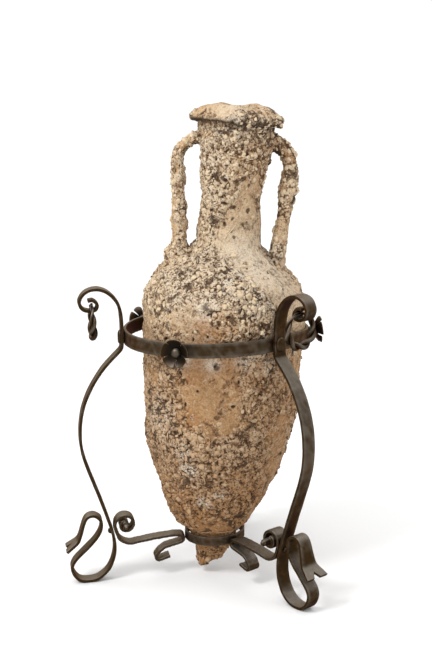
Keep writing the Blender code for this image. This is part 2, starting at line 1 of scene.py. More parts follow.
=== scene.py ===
"""Looks of a sea-crusted Roman amphora in its wrought-iron stand.

The file is laid out as a Blender add-on: property groups hold what a user would change, each operator makes
one piece or one group of like pieces, and a panel lists them. Units are metres and +Z is up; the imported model
is the frame that every piece is fitted to. The side that the camera sees faces -Y.
"""
import json
import random
from math import cos, pi, radians, sin

import bmesh
import bpy
import numpy as np
from bpy.props import FloatProperty, FloatVectorProperty, IntProperty, PointerProperty
from mathutils import Matrix, Vector, noise
from mathutils.bvhtree import BVHTree


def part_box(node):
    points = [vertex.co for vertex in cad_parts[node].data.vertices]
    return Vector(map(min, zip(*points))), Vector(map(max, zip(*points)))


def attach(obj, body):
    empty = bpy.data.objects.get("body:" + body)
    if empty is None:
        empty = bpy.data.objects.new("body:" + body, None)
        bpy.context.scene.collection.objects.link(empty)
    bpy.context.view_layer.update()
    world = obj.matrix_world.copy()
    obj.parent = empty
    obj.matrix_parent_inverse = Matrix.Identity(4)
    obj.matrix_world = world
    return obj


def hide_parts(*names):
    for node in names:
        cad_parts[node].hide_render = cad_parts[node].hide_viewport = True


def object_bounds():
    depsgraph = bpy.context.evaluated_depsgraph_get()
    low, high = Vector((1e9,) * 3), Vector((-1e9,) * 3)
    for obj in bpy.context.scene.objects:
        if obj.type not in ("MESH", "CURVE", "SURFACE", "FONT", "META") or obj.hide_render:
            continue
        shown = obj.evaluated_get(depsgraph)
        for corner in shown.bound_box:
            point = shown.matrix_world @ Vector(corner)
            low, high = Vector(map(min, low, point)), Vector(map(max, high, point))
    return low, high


bl_info = {
    "name": "Sea-crusted amphora in an iron stand",
    "version": (1, 0, 0),
    "blender": (4, 5, 0),
    "location": "3D View > Sidebar > Amphora",
    "description": "Crust, growth, forged iron and studio for the amphora and its stand",
    "category": "Object",
}

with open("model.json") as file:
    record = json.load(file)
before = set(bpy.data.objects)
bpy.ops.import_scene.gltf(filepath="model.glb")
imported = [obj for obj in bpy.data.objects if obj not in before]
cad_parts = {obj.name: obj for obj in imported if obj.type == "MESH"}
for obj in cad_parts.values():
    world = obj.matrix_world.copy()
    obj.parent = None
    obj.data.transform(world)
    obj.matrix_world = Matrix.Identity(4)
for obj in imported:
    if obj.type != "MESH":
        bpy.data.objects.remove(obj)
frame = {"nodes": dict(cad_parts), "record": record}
CAD_BOX = [list(corner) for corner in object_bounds()]

# Places read from the frame
NODES = frame["nodes"]
OPENINGS = {opening["name"]: opening["box_m"] for opening in frame["record"]["physics"]["openings"]}
SIDES = ("left", "right", "back")
FLOWERS = ("front", "right", "back")

# The photograph's long side and the lens in pixels, the sensor's width, and where the camera stood
PHOTO_LONG_SIDE = 649
LENS_PIXELS = 1250.0
SENSOR_MM = 36.0
CAMERA_PLACE = (0.0591, -2.6331, 1.1015)
CAMERA_PITCH = radians(11.894)
CAMERA_ROLL = radians(-1.935)

# The soft light and the floor's outline
KEY_PLACE = (-1.7, -1.5, 2.9)
KEY_SIZE = 1.0
FLOOR_SIDES = 96


def box_middle(box):
    low, high = Vector(box[0]), Vector(box[1])
    return (low + high) / 2


def node_middle(name):
    return box_middle(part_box(name))


def vessel_frame():
    """Matrix whose Z runs up the vessel's axis, with its origin where the lower ring holds it."""
    low = box_middle(OPENINGS["body_low"])
    high = box_middle(OPENINGS["mouth"])
    up = (high - low).normalized()
    foot = low + up * ((node_middle("lower_ring").z - low.z) / up.z)
    side = Vector((0, 1, 0)).cross(up).normalized()
    turn = Matrix((side, up.cross(side), up)).transposed()
    return Matrix.Translation(foot) @ turn.to_4x4()


# Settings that a user would change

def length(name, description, default, least=0.0):
    return FloatProperty(name=name, description=description, default=default, min=least, unit="LENGTH")


def number(name, description, default):
    return IntProperty(name=name, description=description, default=default, min=0)


def colour(name, description, default):
    return FloatVectorProperty(name=name, description=description, default=default, min=0, max=1,
                               subtype="COLOR")


class ShellSettings(bpy.types.PropertyGroup):
    """Relief and colours of the fired clay and the crust on it."""
    grain: length("Grain", "Edge length of the crusted surface's faces", 0.0028, 0.0015)
    plate_depth: length("Plate depth", "Thickness of the flaky crust", 0.0052)
    plate_size: length("Plate size", "Width of a patch of crust", 0.030, 0.005)
    lump_depth: length("Lump depth", "Height of the rounded lumps", 0.0064)
    lump_size: length("Lump size", "Spacing of the rounded lumps", 0.0135, 0.004)
    coral_depth: length("Coral depth", "Height of the branching ridges", 0.0030)
    coral_size: length("Coral size", "Spacing of the branching ridges", 0.024, 0.004)
    pit_depth: length("Pit depth", "Depth of bored holes", 0.0040)
    hollow_depth: length("Hollow depth", "Depth at which a hollow is fully dark", 0.0016, 0.0001)
    clay: colour("Clay", "Bare fired clay", (0.455, 0.292, 0.150))
    rust_clay: colour("Reddish clay", "Orange and reddish patches", (0.270, 0.125, 0.052))
    cream: colour("Cream crust", "Dry lime crust", (0.580, 0.462, 0.322))
    chalk: colour("Chalk", "Grey-white growth", (0.640, 0.570, 0.465))
    pale: colour("Pale clay", "Bleached smooth patches", (0.540, 0.425, 0.280))
    ochre: colour("Ochre", "Orange stain on bare clay", (0.390, 0.190, 0.070))
    # Mottled brown of the crust, also the colour of painted shade in shallow hollows
    umber_and_hollow_shade: colour("Umber", "Brown of shallow hollows", (0.165, 0.084, 0.036))
    # Dark brown of dirty flecks and pits, also the colour of painted shade in deep hollows, crevices,
    # undersides, under the rim and at the foot of growth
    dirt_and_shade: colour("Dirt", "Dark brown of pits and crevices", (0.040, 0.021, 0.010))
    # Browner stain low on the body, which also carries painted shade there
    lower_stain_and_shade: colour("Lower stain", "Browner crust low on the body", (0.285, 0.140, 0.047))


class GrowthSettings(bpy.types.PropertyGroup):
    """Pieces of marine growth on the shell."""
    nodules: number("Nodules", "Rounded lumps of lime", 2200)
    nodule_size: length("Nodule size", "Largest radius", 0.0068, 0.001)
    barnacles: number("Barnacles", "Small open cones", 330)
    barnacle_size: length("Barnacle size", "Largest radius", 0.0048, 0.001)
    tubes: number("Worm tubes", "Lime tubes that creep over the surface", 34)
    tube_radius: length("Tube radius", "Outside radius of a worm tube", 0.0011, 0.0004)
    flakes: number("Flakes", "Angular plates that stand off the crust", 620)
    flake_size: length("Flake size", "Largest half width", 0.0074, 0.001)
    seed: IntProperty(name="Seed", description="Seed of all scattered growth", default=7)


class IronSettings(bpy.types.PropertyGroup):
    """Forged bars, rings and flowers of the stand."""
    edge: length("Edge rounding", "Width of the worn edge of a bar", 0.0011, 0.0002)
    hammer: length("Hammer marks", "Depth of the hammered unevenness", 0.00045)
    knot_grain: length("Knot grain", "Face size of the forged struts", 0.0013, 0.0008)
    petal_sheet: length("Petal sheet", "Thickness of a petal", 0.0018, 0.0005)
    dark: colour("Dark iron", "Waxed forge scale", (0.034, 0.019, 0.007))
    # Rubbed grey on edges; also the painted light on faces that look up and the painted highlight on the rope
    # and petal rims
    pale: colour("Worn iron", "Rubbed grey iron", (0.250, 0.222, 0.190))
    glint: colour("Glint", "Tint of reflections at a low angle", (0.500, 0.380, 0.270))
    rust: colour("Rust", "Thin rust in joints", (0.100, 0.042, 0.018))
    # Black used only for painted shade, on faces that look down and in hollows
    painted_shade_black: colour("Soot", "Black of hollows", (0.008, 0.007, 0.006))


class StageSettings(bpy.types.PropertyGroup):
    """Floor, lights and camera."""
    floor: colour("Floor", "Pale floor", (0.80, 0.80, 0.80))
    floor_radius: length("Floor radius", "Radius of the floor", 30.0, 1)
    zenith: FloatProperty(name="Overhead light", description="Strength of the even light from overhead",
                          default=1.5, min=0)
    key_power: FloatProperty(name="Key light", description="Power of the soft light from the upper left",
                             default=56.0, min=0, unit="POWER")


# Materials

IRON_FINISH = "wrought_iron_finish"


class Term:
    """A socket of a material that takes part in arithmetic; an expression adds its Math nodes."""

    def __init__(self, graph, socket):
        self.graph = graph
        self.socket = socket

    def math(self, operation, first, second=0.0):
        return self.graph.add("ShaderNodeMath", {"operation": operation}, {0: first, 1: second})

    def __add__(self, other):
        return self.math("ADD", self, other)

    def __radd__(self, other):
        return self.math("ADD", other, self)

    def __sub__(self, other):
        return self.math("SUBTRACT", self, other)

    def __rsub__(self, other):
        return self.math("SUBTRACT", other, self)

    def __mul__(self, other):
        return self.math("MULTIPLY", self, other)

    def step(self, low, high):
        """0 below low, 1 above high, and a smooth rise between them."""
        return self.graph.add("ShaderNodeMapRange", {"interpolation_type": "SMOOTHSTEP"},
                              {"Value": self, "From Min": low, "From Max": high})


def opaque(tone):
    """A setting's colour with the alpha that a node asks for."""
    return (*tone, 1)


class Graph:
    """The nodes of one material round its Principled shader."""

    def __init__(self, name):
        self.material = bpy.data.materials.new(name)
        self.material.use_nodes = True
        self.tree = self.material.node_tree
        self.shader = self.tree.nodes["Principled BSDF"]
        self.place = self.add("ShaderNodeTexCoord", output="Object")

    def add(self, kind, settings=None, sockets=None, output=0):
        """Adds a node, sets its settings and then its sockets, and returns one of its outputs."""
        node = self.tree.nodes.new(kind)
        for name, value in (settings or {}).items():
            setattr(node, name, value)
        for name, value in (sockets or {}).items():
            self.feed(node.inputs[name], value)
        return Term(self, node.outputs[output])

    def feed(self, socket, value):
        if isinstance(value, Term):
            self.tree.links.new(value.socket, socket)
        else:
            socket.default_value = value

    def mix(self, factor, first, second):
        """Blend of two colours."""
        ends = [end if isinstance(end, Term) else opaque(end) for end in (first, second)]
        return self.add("ShaderNodeMix", {"data_type": "RGBA"}, {0: factor, 6: ends[0], 7: ends[1]}, 2)

    def coats(self, base, coats):
        """Colours laid over a base one after the other; each coat is its share and its colour."""
        for share, tone in coats:
            base = self.mix(share, base, tone)
        return base

    def noise(self, scale, detail=3.0, roughness=0.55, distortion=0.0):
        return self.add("ShaderNodeTexNoise", {}, {"Vector": self.place, "Scale": scale, "Detail": detail,
                                                   "Roughness": roughness, "Distortion": distortion})

    def cells(self, scale, feature="F1"):
        return self.add("ShaderNodeTexVoronoi", {"feature": feature}, {"Vector": self.place, "Scale": scale})

    def layer(self, name):
        """A value that the mesh carries from point to point."""
        return self.add("ShaderNodeAttribute", {"attribute_name": name}, output="Fac")

    def bump(self, height, strength, distance):
        return self.add("ShaderNodeBump", {}, {"Height": height, "Strength": strength, "Distance": distance})

    def surface(self, **sockets):
        """Feeds the Principled shader; a name's underscores stand for spaces."""
        for name, value in sockets.items():
            self.feed(self.shader.inputs[name.replace("_", " ")], value)
        return self.material


def clay_material(settings):
    """Clay under lime crust: the mesh's layers say where crust is thick, hollow, chalky, rusty or browner low
    down, and where shade and highlights are painted: in hollows, on ridges, in crevices, on undersides, under
    the rim and low on the body.
    """
    graph = Graph("crusted_clay")
    crust, hollow, ridge, low, chalk, rusty, pale, dirt_and_rim_shade, underside_shade_and_stain, spots = map(graph.layer, (
        "crust", "hollow", "ridge", "low", "chalk", "rusty", "pale", "dirt_and_rim_shade", "underside_shade_and_stain", "spots"))
    broad = graph.noise(11.0, 4.0, 0.6)
    patch = graph.noise(34.0, 5.0, 0.65, 0.6)
    mottle = graph.noise(88.0, 4.0, 0.65, 0.8)
    speck = graph.noise(190.0, 3.0, 0.7)
    fleck = graph.noise(250.0, 3.0, 0.7, 0.4)
    grain = graph.cells(330.0)
    busy = (crust * 0.7 + patch * 1.2 + dirt_and_rim_shade * 0.5 - pale * 0.4 - 0.55).step(0.05, 0.60)
    dry = 1 - low * 0.65
    pores = (1 - graph.cells(150.0)).step(0.66, 0.88) * (patch + crust * 0.3).step(0.50, 0.66)
    clay = graph.mix((patch * 0.7 + rusty * 0.35).step(0.40, 0.62) * 0.8, settings.clay, settings.rust_clay)
    lime = graph.mix(broad.step(0.36, 0.64), settings.cream, settings.clay)
    base = graph.mix((crust + patch * 0.8 - 0.4).step(0.05, 0.65), clay, lime)
    base = graph.coats(base, (
        (pale * mottle.step(0.30, 0.50) * 0.9, settings.pale),
        # Browner stain with painted shade low on the body
        (low * (0.55 + patch * 0.7), settings.lower_stain_and_shade),
        (low * patch.step(0.50, 0.60) * 0.50, settings.rust_clay),
        (rusty * (0.15 + mottle.step(0.36, 0.60) * 0.65), settings.ochre),
        (mottle.step(0.46, 0.30) * dry * 0.55, settings.chalk),
        (mottle.step(0.50, 0.60) * (0.30 + busy * 0.60), settings.umber_and_hollow_shade),
        # Chalk growth, with a painted highlight on ridges
        ((chalk * 0.95 + ridge * dry * 0.42) * speck.step(0.30, 0.60), settings.chalk),
        (speck.step(0.54, 0.66) * 0.50, settings.rust_clay),
        (fleck.step(0.45, 0.32) * dry * 0.50, settings.pale),
        (fleck.step(0.54, 0.64) * (0.32 + busy * 0.50), settings.dirt_and_shade),
        ((patch * 0.7 + mottle * 0.5 + dirt_and_rim_shade * 0.06).step(0.63, 0.74) * (busy * 0.90), settings.dirt_and_shade),
        # Painted shade in hollows: mid brown where shallow, dark brown where deep, broken up by noise
        ((hollow + mottle * 0.6 - 0.3).step(0.02, 0.55) * 0.64, settings.umber_and_hollow_shade),
        ((hollow + patch * 0.5 - 0.25).step(0.35, 0.90) * 0.90, settings.dirt_and_shade),
        (pores * 0.6, settings.dirt_and_shade),
        # Painted shade in the crevices
        ((spots + mottle * 0.9 - 0.50).step(0.22, 0.66) * 0.78, settings.dirt_and_shade),
        # Painted shade on undersides, with brown stain and painted shade under the rim
        (underside_shade_and_stain * (0.45 + mottle), settings.dirt_and_shade)))
    height = speck * 0.6 + fleck * 0.6 + mottle * 0.8 - grain * 0.35 - pores * 0.7
    return graph.surface(Base_Color=base, Roughness=0.95 - ridge * 0.08, Specular_IOR_Level=0.25,
                         Normal=graph.bump(height, 1.0, 0.0030))


def growth_material(name, pale, dark, settings):
    """Lime growth: its own tint, painted shade at its foot where it meets the shell, and browner with painted
    shade low on the vessel.
    """
    graph = Graph(name)
    foot, tint, low = map(graph.layer, ("foot", "tint", "low"))
    speck = graph.noise(260.0, 3.0, 0.65)
    base = graph.coats(graph.mix(tint, pale, dark), (
        # Browner stain with painted shade low on the vessel
        (low * (0.60 + tint * 0.40), settings.lower_stain_and_shade),
        (speck.step(0.52, 0.68) * 0.6, settings.rust_clay),
        # Painted shade at the foot where growth meets the shell, on a tube's underside and in a barnacle's
        # opening
        ((foot + speck * 0.8 - 0.4).step(0.10, 0.85) * 0.9, settings.dirt_and_shade)))
    return graph.surface(Base_Color=base, Roughness=0.92, Specular_IOR_Level=0.25,
                         Normal=graph.bump(speck, 0.8, 0.0014))


def iron_material(settings):
    """Waxed wrought iron, made once: dark scale, rubbed grey on edges and a little rust in patches, with
    painted light on faces that look up and painted shade on faces that look down and in hollows.
    """
    made = bpy.data.materials.get(IRON_FINISH)
    if made:
        return made
    graph = Graph(IRON_FINISH)
    worn, deep = map(graph.layer, ("worn", "deep"))
    broad = graph.noise(14.0, 4.0, 0.6)
    fleck = graph.noise(120.0, 4.0, 0.65)
    dents = graph.cells(60.0, "SMOOTH_F1")
    streak = graph.noise(300.0, 2.0, 0.5)
    facing = graph.add("ShaderNodeTexCoord", output="Normal")
    up = graph.add("ShaderNodeSeparateXYZ", {}, {"Vector": facing}, "Z")
    base = graph.coats(settings.dark, (
        (fleck.step(0.48, 0.75) * 0.04, settings.pale),
        # Painted light: faces that look up are lighter
        (up.step(0.32, 0.95) * (0.35 + fleck * 0.65), settings.pale),
        # Rubbed grey on edges, and the painted highlight on the rope's strands and the petals' rims
        (worn * (0.10 + fleck * 0.55), settings.pale),
        # Painted shade on faces that look down
        ((0 - up).step(0.10, 0.80) * 0.60, settings.painted_shade_black),
        (broad.step(0.54, 0.70) * fleck.step(0.45, 0.60) * 0.5, settings.rust),
        # Painted shade in hollows, in the rosette cups and between the rope's strands
        (deep * 0.85, settings.painted_shade_black)))
    height = dents * 0.5 + fleck * 0.3 + streak * 0.08
    return graph.surface(Base_Color=base, Metallic=0.85, Roughness=0.34 + fleck * 0.25,
                         Specular_IOR_Level=0.2, Specular_Tint=opaque(settings.glint),
                         Normal=graph.bump(height, 0.5, 0.0012))


def floor_material(settings):
    graph = Graph("pale_floor")
    tone = graph.noise(0.8, 2.0, 0.5)
    paper = tuple(0.985 * part for part in settings.floor)
    base = graph.mix(tone, settings.floor, paper)
    return graph.surface(Base_Color=base, Roughness=0.9, Specular_IOR_Level=0.2)


# Meshes

def add_piece(name, mesh, look, nodes=()):
    """Puts a mesh into the scene as a piece of the object that rides on it and stands for the given nodes."""
    piece = bpy.data.objects.new(name, mesh)
    bpy.context.scene.collection.objects.link(piece)
    mesh.materials.clear()
    mesh.materials.append(look)
    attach(piece, "root")
    if nodes:
        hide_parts(*nodes)


def smooth_shaded(mesh):
    mesh.polygons.foreach_set("use_smooth", [True] * len(mesh.polygons))
    return mesh


def mesh_from(work, name):
    """Mesh of a bmesh, which is freed."""
    mesh = bpy.data.meshes.new(name)
    work.to_mesh(mesh)
    work.free()
    return mesh


def on_bench(mesh):
    """Object that carries a mesh while its modifiers are set."""
    item = bpy.data.objects.new("work", mesh)
    bpy.context.scene.collection.objects.link(item)
    return item


def off_bench(item):
    """Mesh after the object's modifiers; the object goes."""
    graph = bpy.context.evaluated_depsgraph_get()
    graph.update()
    made = bpy.data.meshes.new_from_object(item.evaluated_get(graph))
    bpy.data.objects.remove(item, do_unlink=True)
    return made


def settled(mesh, modifiers):
    """Mesh after a list of (type, settings) modifiers."""
    item = on_bench(mesh)
    for kind, settings in modifiers:
        modifier = item.modifiers.new(kind.lower(), kind)
        for name, value in settings.items():
            setattr(modifier, name, value)
    return off_bench(item)


def set_layer(mesh, name, values):
    """Gives a mesh a value for each point, which its material reads."""
    layer = mesh.attributes.get(name) or mesh.attributes.new(name, "FLOAT", "POINT")
    layer.data.foreach_set("value", values)


def read_array(items, name, width=3, kind=np.float32):
    """One property of all items as an array with a row for each item."""
    values = np.empty(len(items) * width, dtype=kind)
    items.foreach_get(name, values)
    return values.reshape(-1, width)


class Surface:
    """A mesh's points, normals and neighbours as arrays."""

    def __init__(self, mesh):
        self.mesh = mesh
        self.count = len(mesh.vertices)
        self.points = read_array(mesh.vertices, "co").astype(float)
        self.normals = read_array(mesh.vertex_normals, "vector").astype(float)
        self.ends = read_array(mesh.edges, "vertices", 2, np.int32)
        self.degree = np.bincount(self.ends.ravel(), minlength=self.count).clip(1)

    def spread(self, values, rounds):
        """Values averaged with their neighbours' for some rounds."""
        first, second = self.ends[:, 0], self.ends[:, 1]
        for _ in range(rounds):
            total = np.bincount(first, values[second], self.count)
            total += np.bincount(second, values[first], self.count)
            values = 0.5 * values + 0.5 * total / self.degree
        return values

    def move(self, distance):
        """Moves each point along its normal."""
        self.points += self.normals * distance[:, None]
        self.mesh.vertices.foreach_set("co", self.points.astype(np.float32).ravel())
        self.mesh.update()

    def bulge(self, rounds):
        """How far each point stands out from the surface smoothed for some rounds, in metres."""
        smooth = np.stack([self.spread(self.points[:, axis], rounds) for axis in range(3)], axis=1)
        return ((self.points - smooth) * self.normals).sum(axis=1)

    def add_layer(self, name, values):
        set_layer(self.mesh, name, np.clip(values, 0, 1).astype(np.float32))


def between(values, low, high):
    """Smooth rise from 0 at low to 1 at high, for numbers and arrays."""
    share = np.clip((np.asarray(values) - low) / (high - low), 0.0, 1.0)
    return share * share * (3 - 2 * share)


# Places on the vessel: azimuth from its +X in degrees, height above the lower ring and spread in metres, and
# amount. The first list says where crust is thick; an amount below 0 is bare.
CRUST_PLACES = (
    (234, 0.912, 0.05, -0.7), (312, 0.905, 0.06, 0.9), (262, 0.86, 0.05, 0.5), (214, 0.74, 0.055, 0.7),
    (308, 0.69, 0.085, -1.1), (280, 0.82, 0.06, 0.6), (288, 0.545, 0.085, 1), (250, 0.5, 0.06, -0.5),
    (205, 0.56, 0.08, 0.5), (255, 0.345, 0.06, -0.9), (225, 0.3, 0.08, 0.7), (255, 0.2, 0.075, 0.9),
    (290, 0.35, 0.06, 0.3), (300, 0.24, 0.08, -0.2), (285, 0.1, 0.06, 0.6), (230, 0.12, 0.06, 0.5),
    (60, 0.48, 0.11, 0.8), (120, 0.3, 0.11, -0.6), (90, 0.72, 0.08, 0.5), (20, 0.25, 0.1, 0.6),
    (150, 0.56, 0.08, 0.4), (100, 0.905, 0.07, 0.5), (308, 0.585, 0.045, -0.9), (322, 0.55, 0.045, -0.7),
    (264, 0.29, 0.034, -0.9))
# Grey-white growth
CHALK_PLACES = (
    (240, 0.425, 0.022, 1.1), (262, 0.418, 0.018, 1), (285, 0.428, 0.02, 0.9), (302, 0.415, 0.016, 0.8),
    (242, 0.222, 0.015, 1.4), (246, 0.182, 0.015, 1.4), (259, 0.107, 0.013, 1.3), (275, 0.13, 0.011, 1),
    (222, 0.29, 0.03, 0.7), (256, 0.53, 0.02, 1), (268, 0.572, 0.016, 1), (285, 0.56, 0.035, 0.8),
    (240, 0.56, 0.07, 0.5), (300, 0.62, 0.06, 0.6), (330, 0.56, 0.08, 0.5), (268, 0.905, 0.04, 0.5),
    (80, 0.52, 0.09, 0.7), (130, 0.2, 0.07, 0.6))
# Orange and reddish patches
RUST_PLACES = (
    (258, 0.487, 0.026, 1.4), (270, 0.5, 0.022, 0.7), (245, 0.4, 0.04, 0.8), (285, 0.06, 0.05, 0.7),
    (258, 0.25, 0.01, 1.8), (248, 0.275, 0.009, 1.6), (289, 0.395, 0.012, 1.2), (306, 0.36, 0.014, 1),
    (305, 0.295, 0.016, 1.2), (262, 0.43, 0.05, 0.7), (300, 0.4, 0.05, 0.8), (330, 0.76, 0.06, 0.5),
    (0, 0.86, 0.05, 0.9), (305, 0.13, 0.07, 1), (245, 0.29, 0.03, 0.9), (255, 0.07, 0.06, 0.7),
    (275, 0.47, 0.04, 0.6), (320, 0.3, 0.06, 0.6), (310, 0.85, 0.05, 0.5), (100, 0.4, 0.08, 0.6),
    (30, 0.12, 0.07, 0.7))
# Bleached smooth clay
PALE_PLACES = (
    (238, 0.92, 0.036, 0.6), (262, 0.92, 0.024, 0.4), (222, 0.585, 0.075, 0.7), (205, 0.52, 0.05, 0.5),
    (325, 0.6, 0.07, 0.6), (262, 0.64, 0.045, 0.5), (250, 0.76, 0.05, 0.5), (300, 0.74, 0.06, 0.5),
    (80, 0.9, 0.06, 0.6), (110, 0.56, 0.09, 0.5), (30, 0.7, 0.07, 0.5))
# Crowded barnacles and lumps
COLONY_PLACES = (
    (216, 0.795, 0.016, 1), (217, 0.762, 0.018, 1.2), (216, 0.73, 0.018, 1.1), (218, 0.7, 0.016, 1),
    (214, 0.67, 0.018, 1), (150, 0.8, 0.06, 0.5), (0, 0.78, 0.06, 0.5), (285, 0.575, 0.045, 0.6),
    (250, 0.26, 0.05, 0.6), (90, 0.64, 0.06, 0.6), (120, 0.33, 0.07, 0.6))
# Dirty crust
SOILED_PLACES = (
    (235, 0.56, 0.03, 1), (262, 0.585, 0.035, 1), (282, 0.53, 0.03, 1.2), (300, 0.5, 0.028, 0.8),
    (212, 0.52, 0.028, 0.8), (218, 0.705, 0.02, 1.6), (219, 0.77, 0.022, 1.6), (235, 0.8, 0.03, 0.8),
    (255, 0.63, 0.025, 0.8), (236, 0.38, 0.028, 0.9), (275, 0.3, 0.03, 0.3), (252, 0.24, 0.028, 0.8),
    (288, 0.22, 0.035, 0.8), (262, 0.14, 0.028, 0.8), (300, 0.08, 0.045, 1.3), (320, 0.44, 0.04, 0.3),
    (222, 0.908, 0.018, 1.3), (246, 0.903, 0.016, 1), (325, 0.6, 0.06, 0.7), (225, 0.3, 0.05, 0.6),
    (0, 0.84, 0.05, 1.3), (0, 0.76, 0.05, 1.3), (0, 0.69, 0.05, 1), (212, 0.24, 0.05, 0.6),
    (305, 0.905, 0.04, 0.7), (90, 0.56, 0.06, 1), (130, 0.4, 0.06, 0.9), (50, 0.3, 0.06, 0.8))
# Where the crust has worn off and the neck is slimmer
WORN_PLACES = (
    (190, 0.815, 0.04, 1.1), (195, 0.745, 0.045, 0.6), (200, 0.68, 0.04, 0.3))
# Crevices, each a shallow dent darkened with painted shade: the neck's, the shoulder's, the belly's, the
# taper's and the back's
SHADED_CREVICE_PLACES = (
    (254, 0.783, 0.005, 1), (266, 0.783, 0.0048, 1), (243, 0.75, 0.0052, 1), (255, 0.764, 0.0046, 0.9),
    (303, 0.778, 0.0052, 1), (298, 0.767, 0.0046, 0.9), (258, 0.728, 0.0046, 1), (272, 0.723, 0.0046, 1),
    (254, 0.71, 0.0055, 1), (305, 0.717, 0.005, 1), (273, 0.699, 0.0042, 0.9), (257, 0.685, 0.0052, 1),
    (271, 0.676, 0.0048, 1), (278, 0.664, 0.0048, 1), (297, 0.688, 0.0042, 0.9), (236, 0.664, 0.0055, 0.9),
    (239, 0.59, 0.0085, 1), (255, 0.532, 0.008, 0.8), (259, 0.526, 0.007, 0.8), (266, 0.505, 0.008, 0.9),
    (281, 0.53, 0.011, 1), (290, 0.556, 0.0095, 0.9), (279, 0.582, 0.009, 0.9), (268, 0.598, 0.0075, 0.9),
    (224, 0.514, 0.0075, 0.9), (217, 0.565, 0.008, 0.9), (265, 0.411, 0.008, 1), (286, 0.322, 0.0075, 0.8),
    (287, 0.303, 0.0085, 0.7), (208, 0.334, 0.013, 1), (212, 0.3, 0.011, 1), (294, 0.293, 0.012, 0.9),
    (238, 0.258, 0.009, 0.9), (244, 0.154, 0.01, 1), (251, 0.2, 0.0085, 0.9), (300, 0.07, 0.014, 1.1),
    (316, 0.076, 0.013, 1.1), (284, 0.062, 0.009, 1), (231, 0.063, 0.008, 0.9), (262, 0.024, 0.009, 0.9),
    (60, 0.56, 0.014, 1), (110, 0.5, 0.012, 1), (85, 0.33, 0.014, 1), (140, 0.25, 0.012, 1))

# Heights on the vessel and distances from its axis in metres: rim, neck, mouth, floor, handles and hoop
LIP_SHADE = (0.820, 0.872)
LIP_FOOT = 0.898
LIP_EDGE = (0.899, 0.912)
LIP_HEIGHT = 0.912
LIP_SMOOTH = (LIP_HEIGHT - 0.006, LIP_HEIGHT + 0.008)
LIP_GROWTH_TOP = 0.914
NECK_FOOT = 0.610
BORE_REACH = 0.075
MOUTH_REACH = 0.060
FLOOR_BAND = (0.040, 0.1)
HANDLE_GAP = 0.088
HANDLE_BAND = (0.62, 0.88)
HOOP_LINE = 0.45
# Bands where the browner stain and its painted shade fade out, under the hoop and near the toe
HOOP_STAIN_AND_SHADE = (HOOP_LINE - 0.05, HOOP_LINE + 0.05)
TOE_STAIN_AND_SHADE = (0.04, 0.30)

# How the rings hold the crust back: bar thickness, room inside them, and room and fade over and under them
RINGS = ("upper_ring", "lower_ring")
BAR_THICKNESS = 0.006
HOOP_ROOM = 0.0015
RING_ROOM = 0.006
RING_FADE = 0.012
RING_BANDS = [(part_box(name)[0].z - 0.007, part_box(name)[1].z + 0.007) for name in RINGS]

# Relief: depth and width in metres, or for the small lumps a share of the large ones'
SWELL = (0.0028, 0.036)
GRIT = (0.0013, 0.0052)
BARE_GRAIN = (0.0005, 0.010)
SMALL_LUMPS = (0.44, 0.47)
WARP = (0.004, 0.012)
HOLE_SPACING = 0.021
SUNK = 0.0016
SCAR_DEPTH = 0.0015
WORN_DEPTH = 0.0085
HANDLE_CALM = 0.15

# Share of the faces that stays on the bore, which only the mouth shows
KEPT_SHARE = 0.58


def field(points, scale, shift=0.0):
    """Smooth noise of about -1 to 1 at each point."""
    return np.array([noise.noise(Vector(point)) for point in points / scale + shift])


def fractal(points, scale, octaves):
    return np.array([noise.fractal(Vector(point), 0.8, 2.1, octaves) for point in points / scale])


def moved_about(points, distance, scale, shifts):
    """Points moved by smooth noise that has a shift of its own on each axis."""
    return points + distance * np.stack([field(points, scale, shift) for shift in shifts], axis=1)


def cobbles(points, scale, shift=0.0):
    """(height, size) of rounded lumps that meet in crisp valleys; each lump has its own size of 0 to 1."""
    heights, sizes = [], []
    for point in points / scale + shift:
        distances, middles = noise.voronoi(Vector(point))
        heights.append(1 - min(1.0, distances[0]) ** 2)
        sizes.append(0.5 + 0.5 * noise.noise(middles[0] * 7.7))
    return np.array(heights), np.array(sizes)


def amounts(points, places):
    """Sum of the places' amounts at each point, each fading with distance along the vessel."""
    reach = np.maximum(0.03, polar(points)[0])
    total = np.zeros(len(points))
    for azimuth, height, spread, amount in places:
        x = points[:, 0] - reach * cos(radians(azimuth))
        y = points[:, 1] - reach * sin(radians(azimuth))
        z = points[:, 2] - height
        total += amount * np.exp(-(x * x + y * y + z * z) / spread ** 2)
    return total


def within(values, band):
    """True between the two ends of a band."""
    low, high = band
    return (values > low) & (values < high)


def polar(points):
    """(distance from the vessel's axis, height) of points in its own frame."""
    return np.hypot(points[:, 0], points[:, 1]), points[:, 2]


def on_vessel(points, normals):
    """Points and normals in the vessel's own frame."""
    matrix = np.array(vessel_frame().inverted())
    return points @ matrix[:3, :3].T + matrix[:3, 3], normals @ matrix[:3, :3].T


def bore_mask(points, normals):
    """True on the bore and the lip's inner side, where no crust is modelled."""
    reach, height = polar(points)
    facing = (points[:, :2] * normals[:, :2]).sum(axis=1) / np.maximum(reach, 0.001)
    over_floor = height > FLOOR_BAND[0]
    body = (facing < -0.12) & over_floor & ~((height > NECK_FOOT) & (reach > BORE_REACH))
    floor = (reach < BORE_REACH) & (normals[:, 2] > 0.6) & within(height, FLOOR_BAND)
    lip = (reach < MOUTH_REACH) & (height > LIP_HEIGHT)
    return body | floor | lip


def ring_mask(points):
    """True where a ring of the stand passes."""
    held = np.zeros(len(points), dtype=bool)
    for band in RING_BANDS:
        held |= within(points[:, 2], band)
    return held


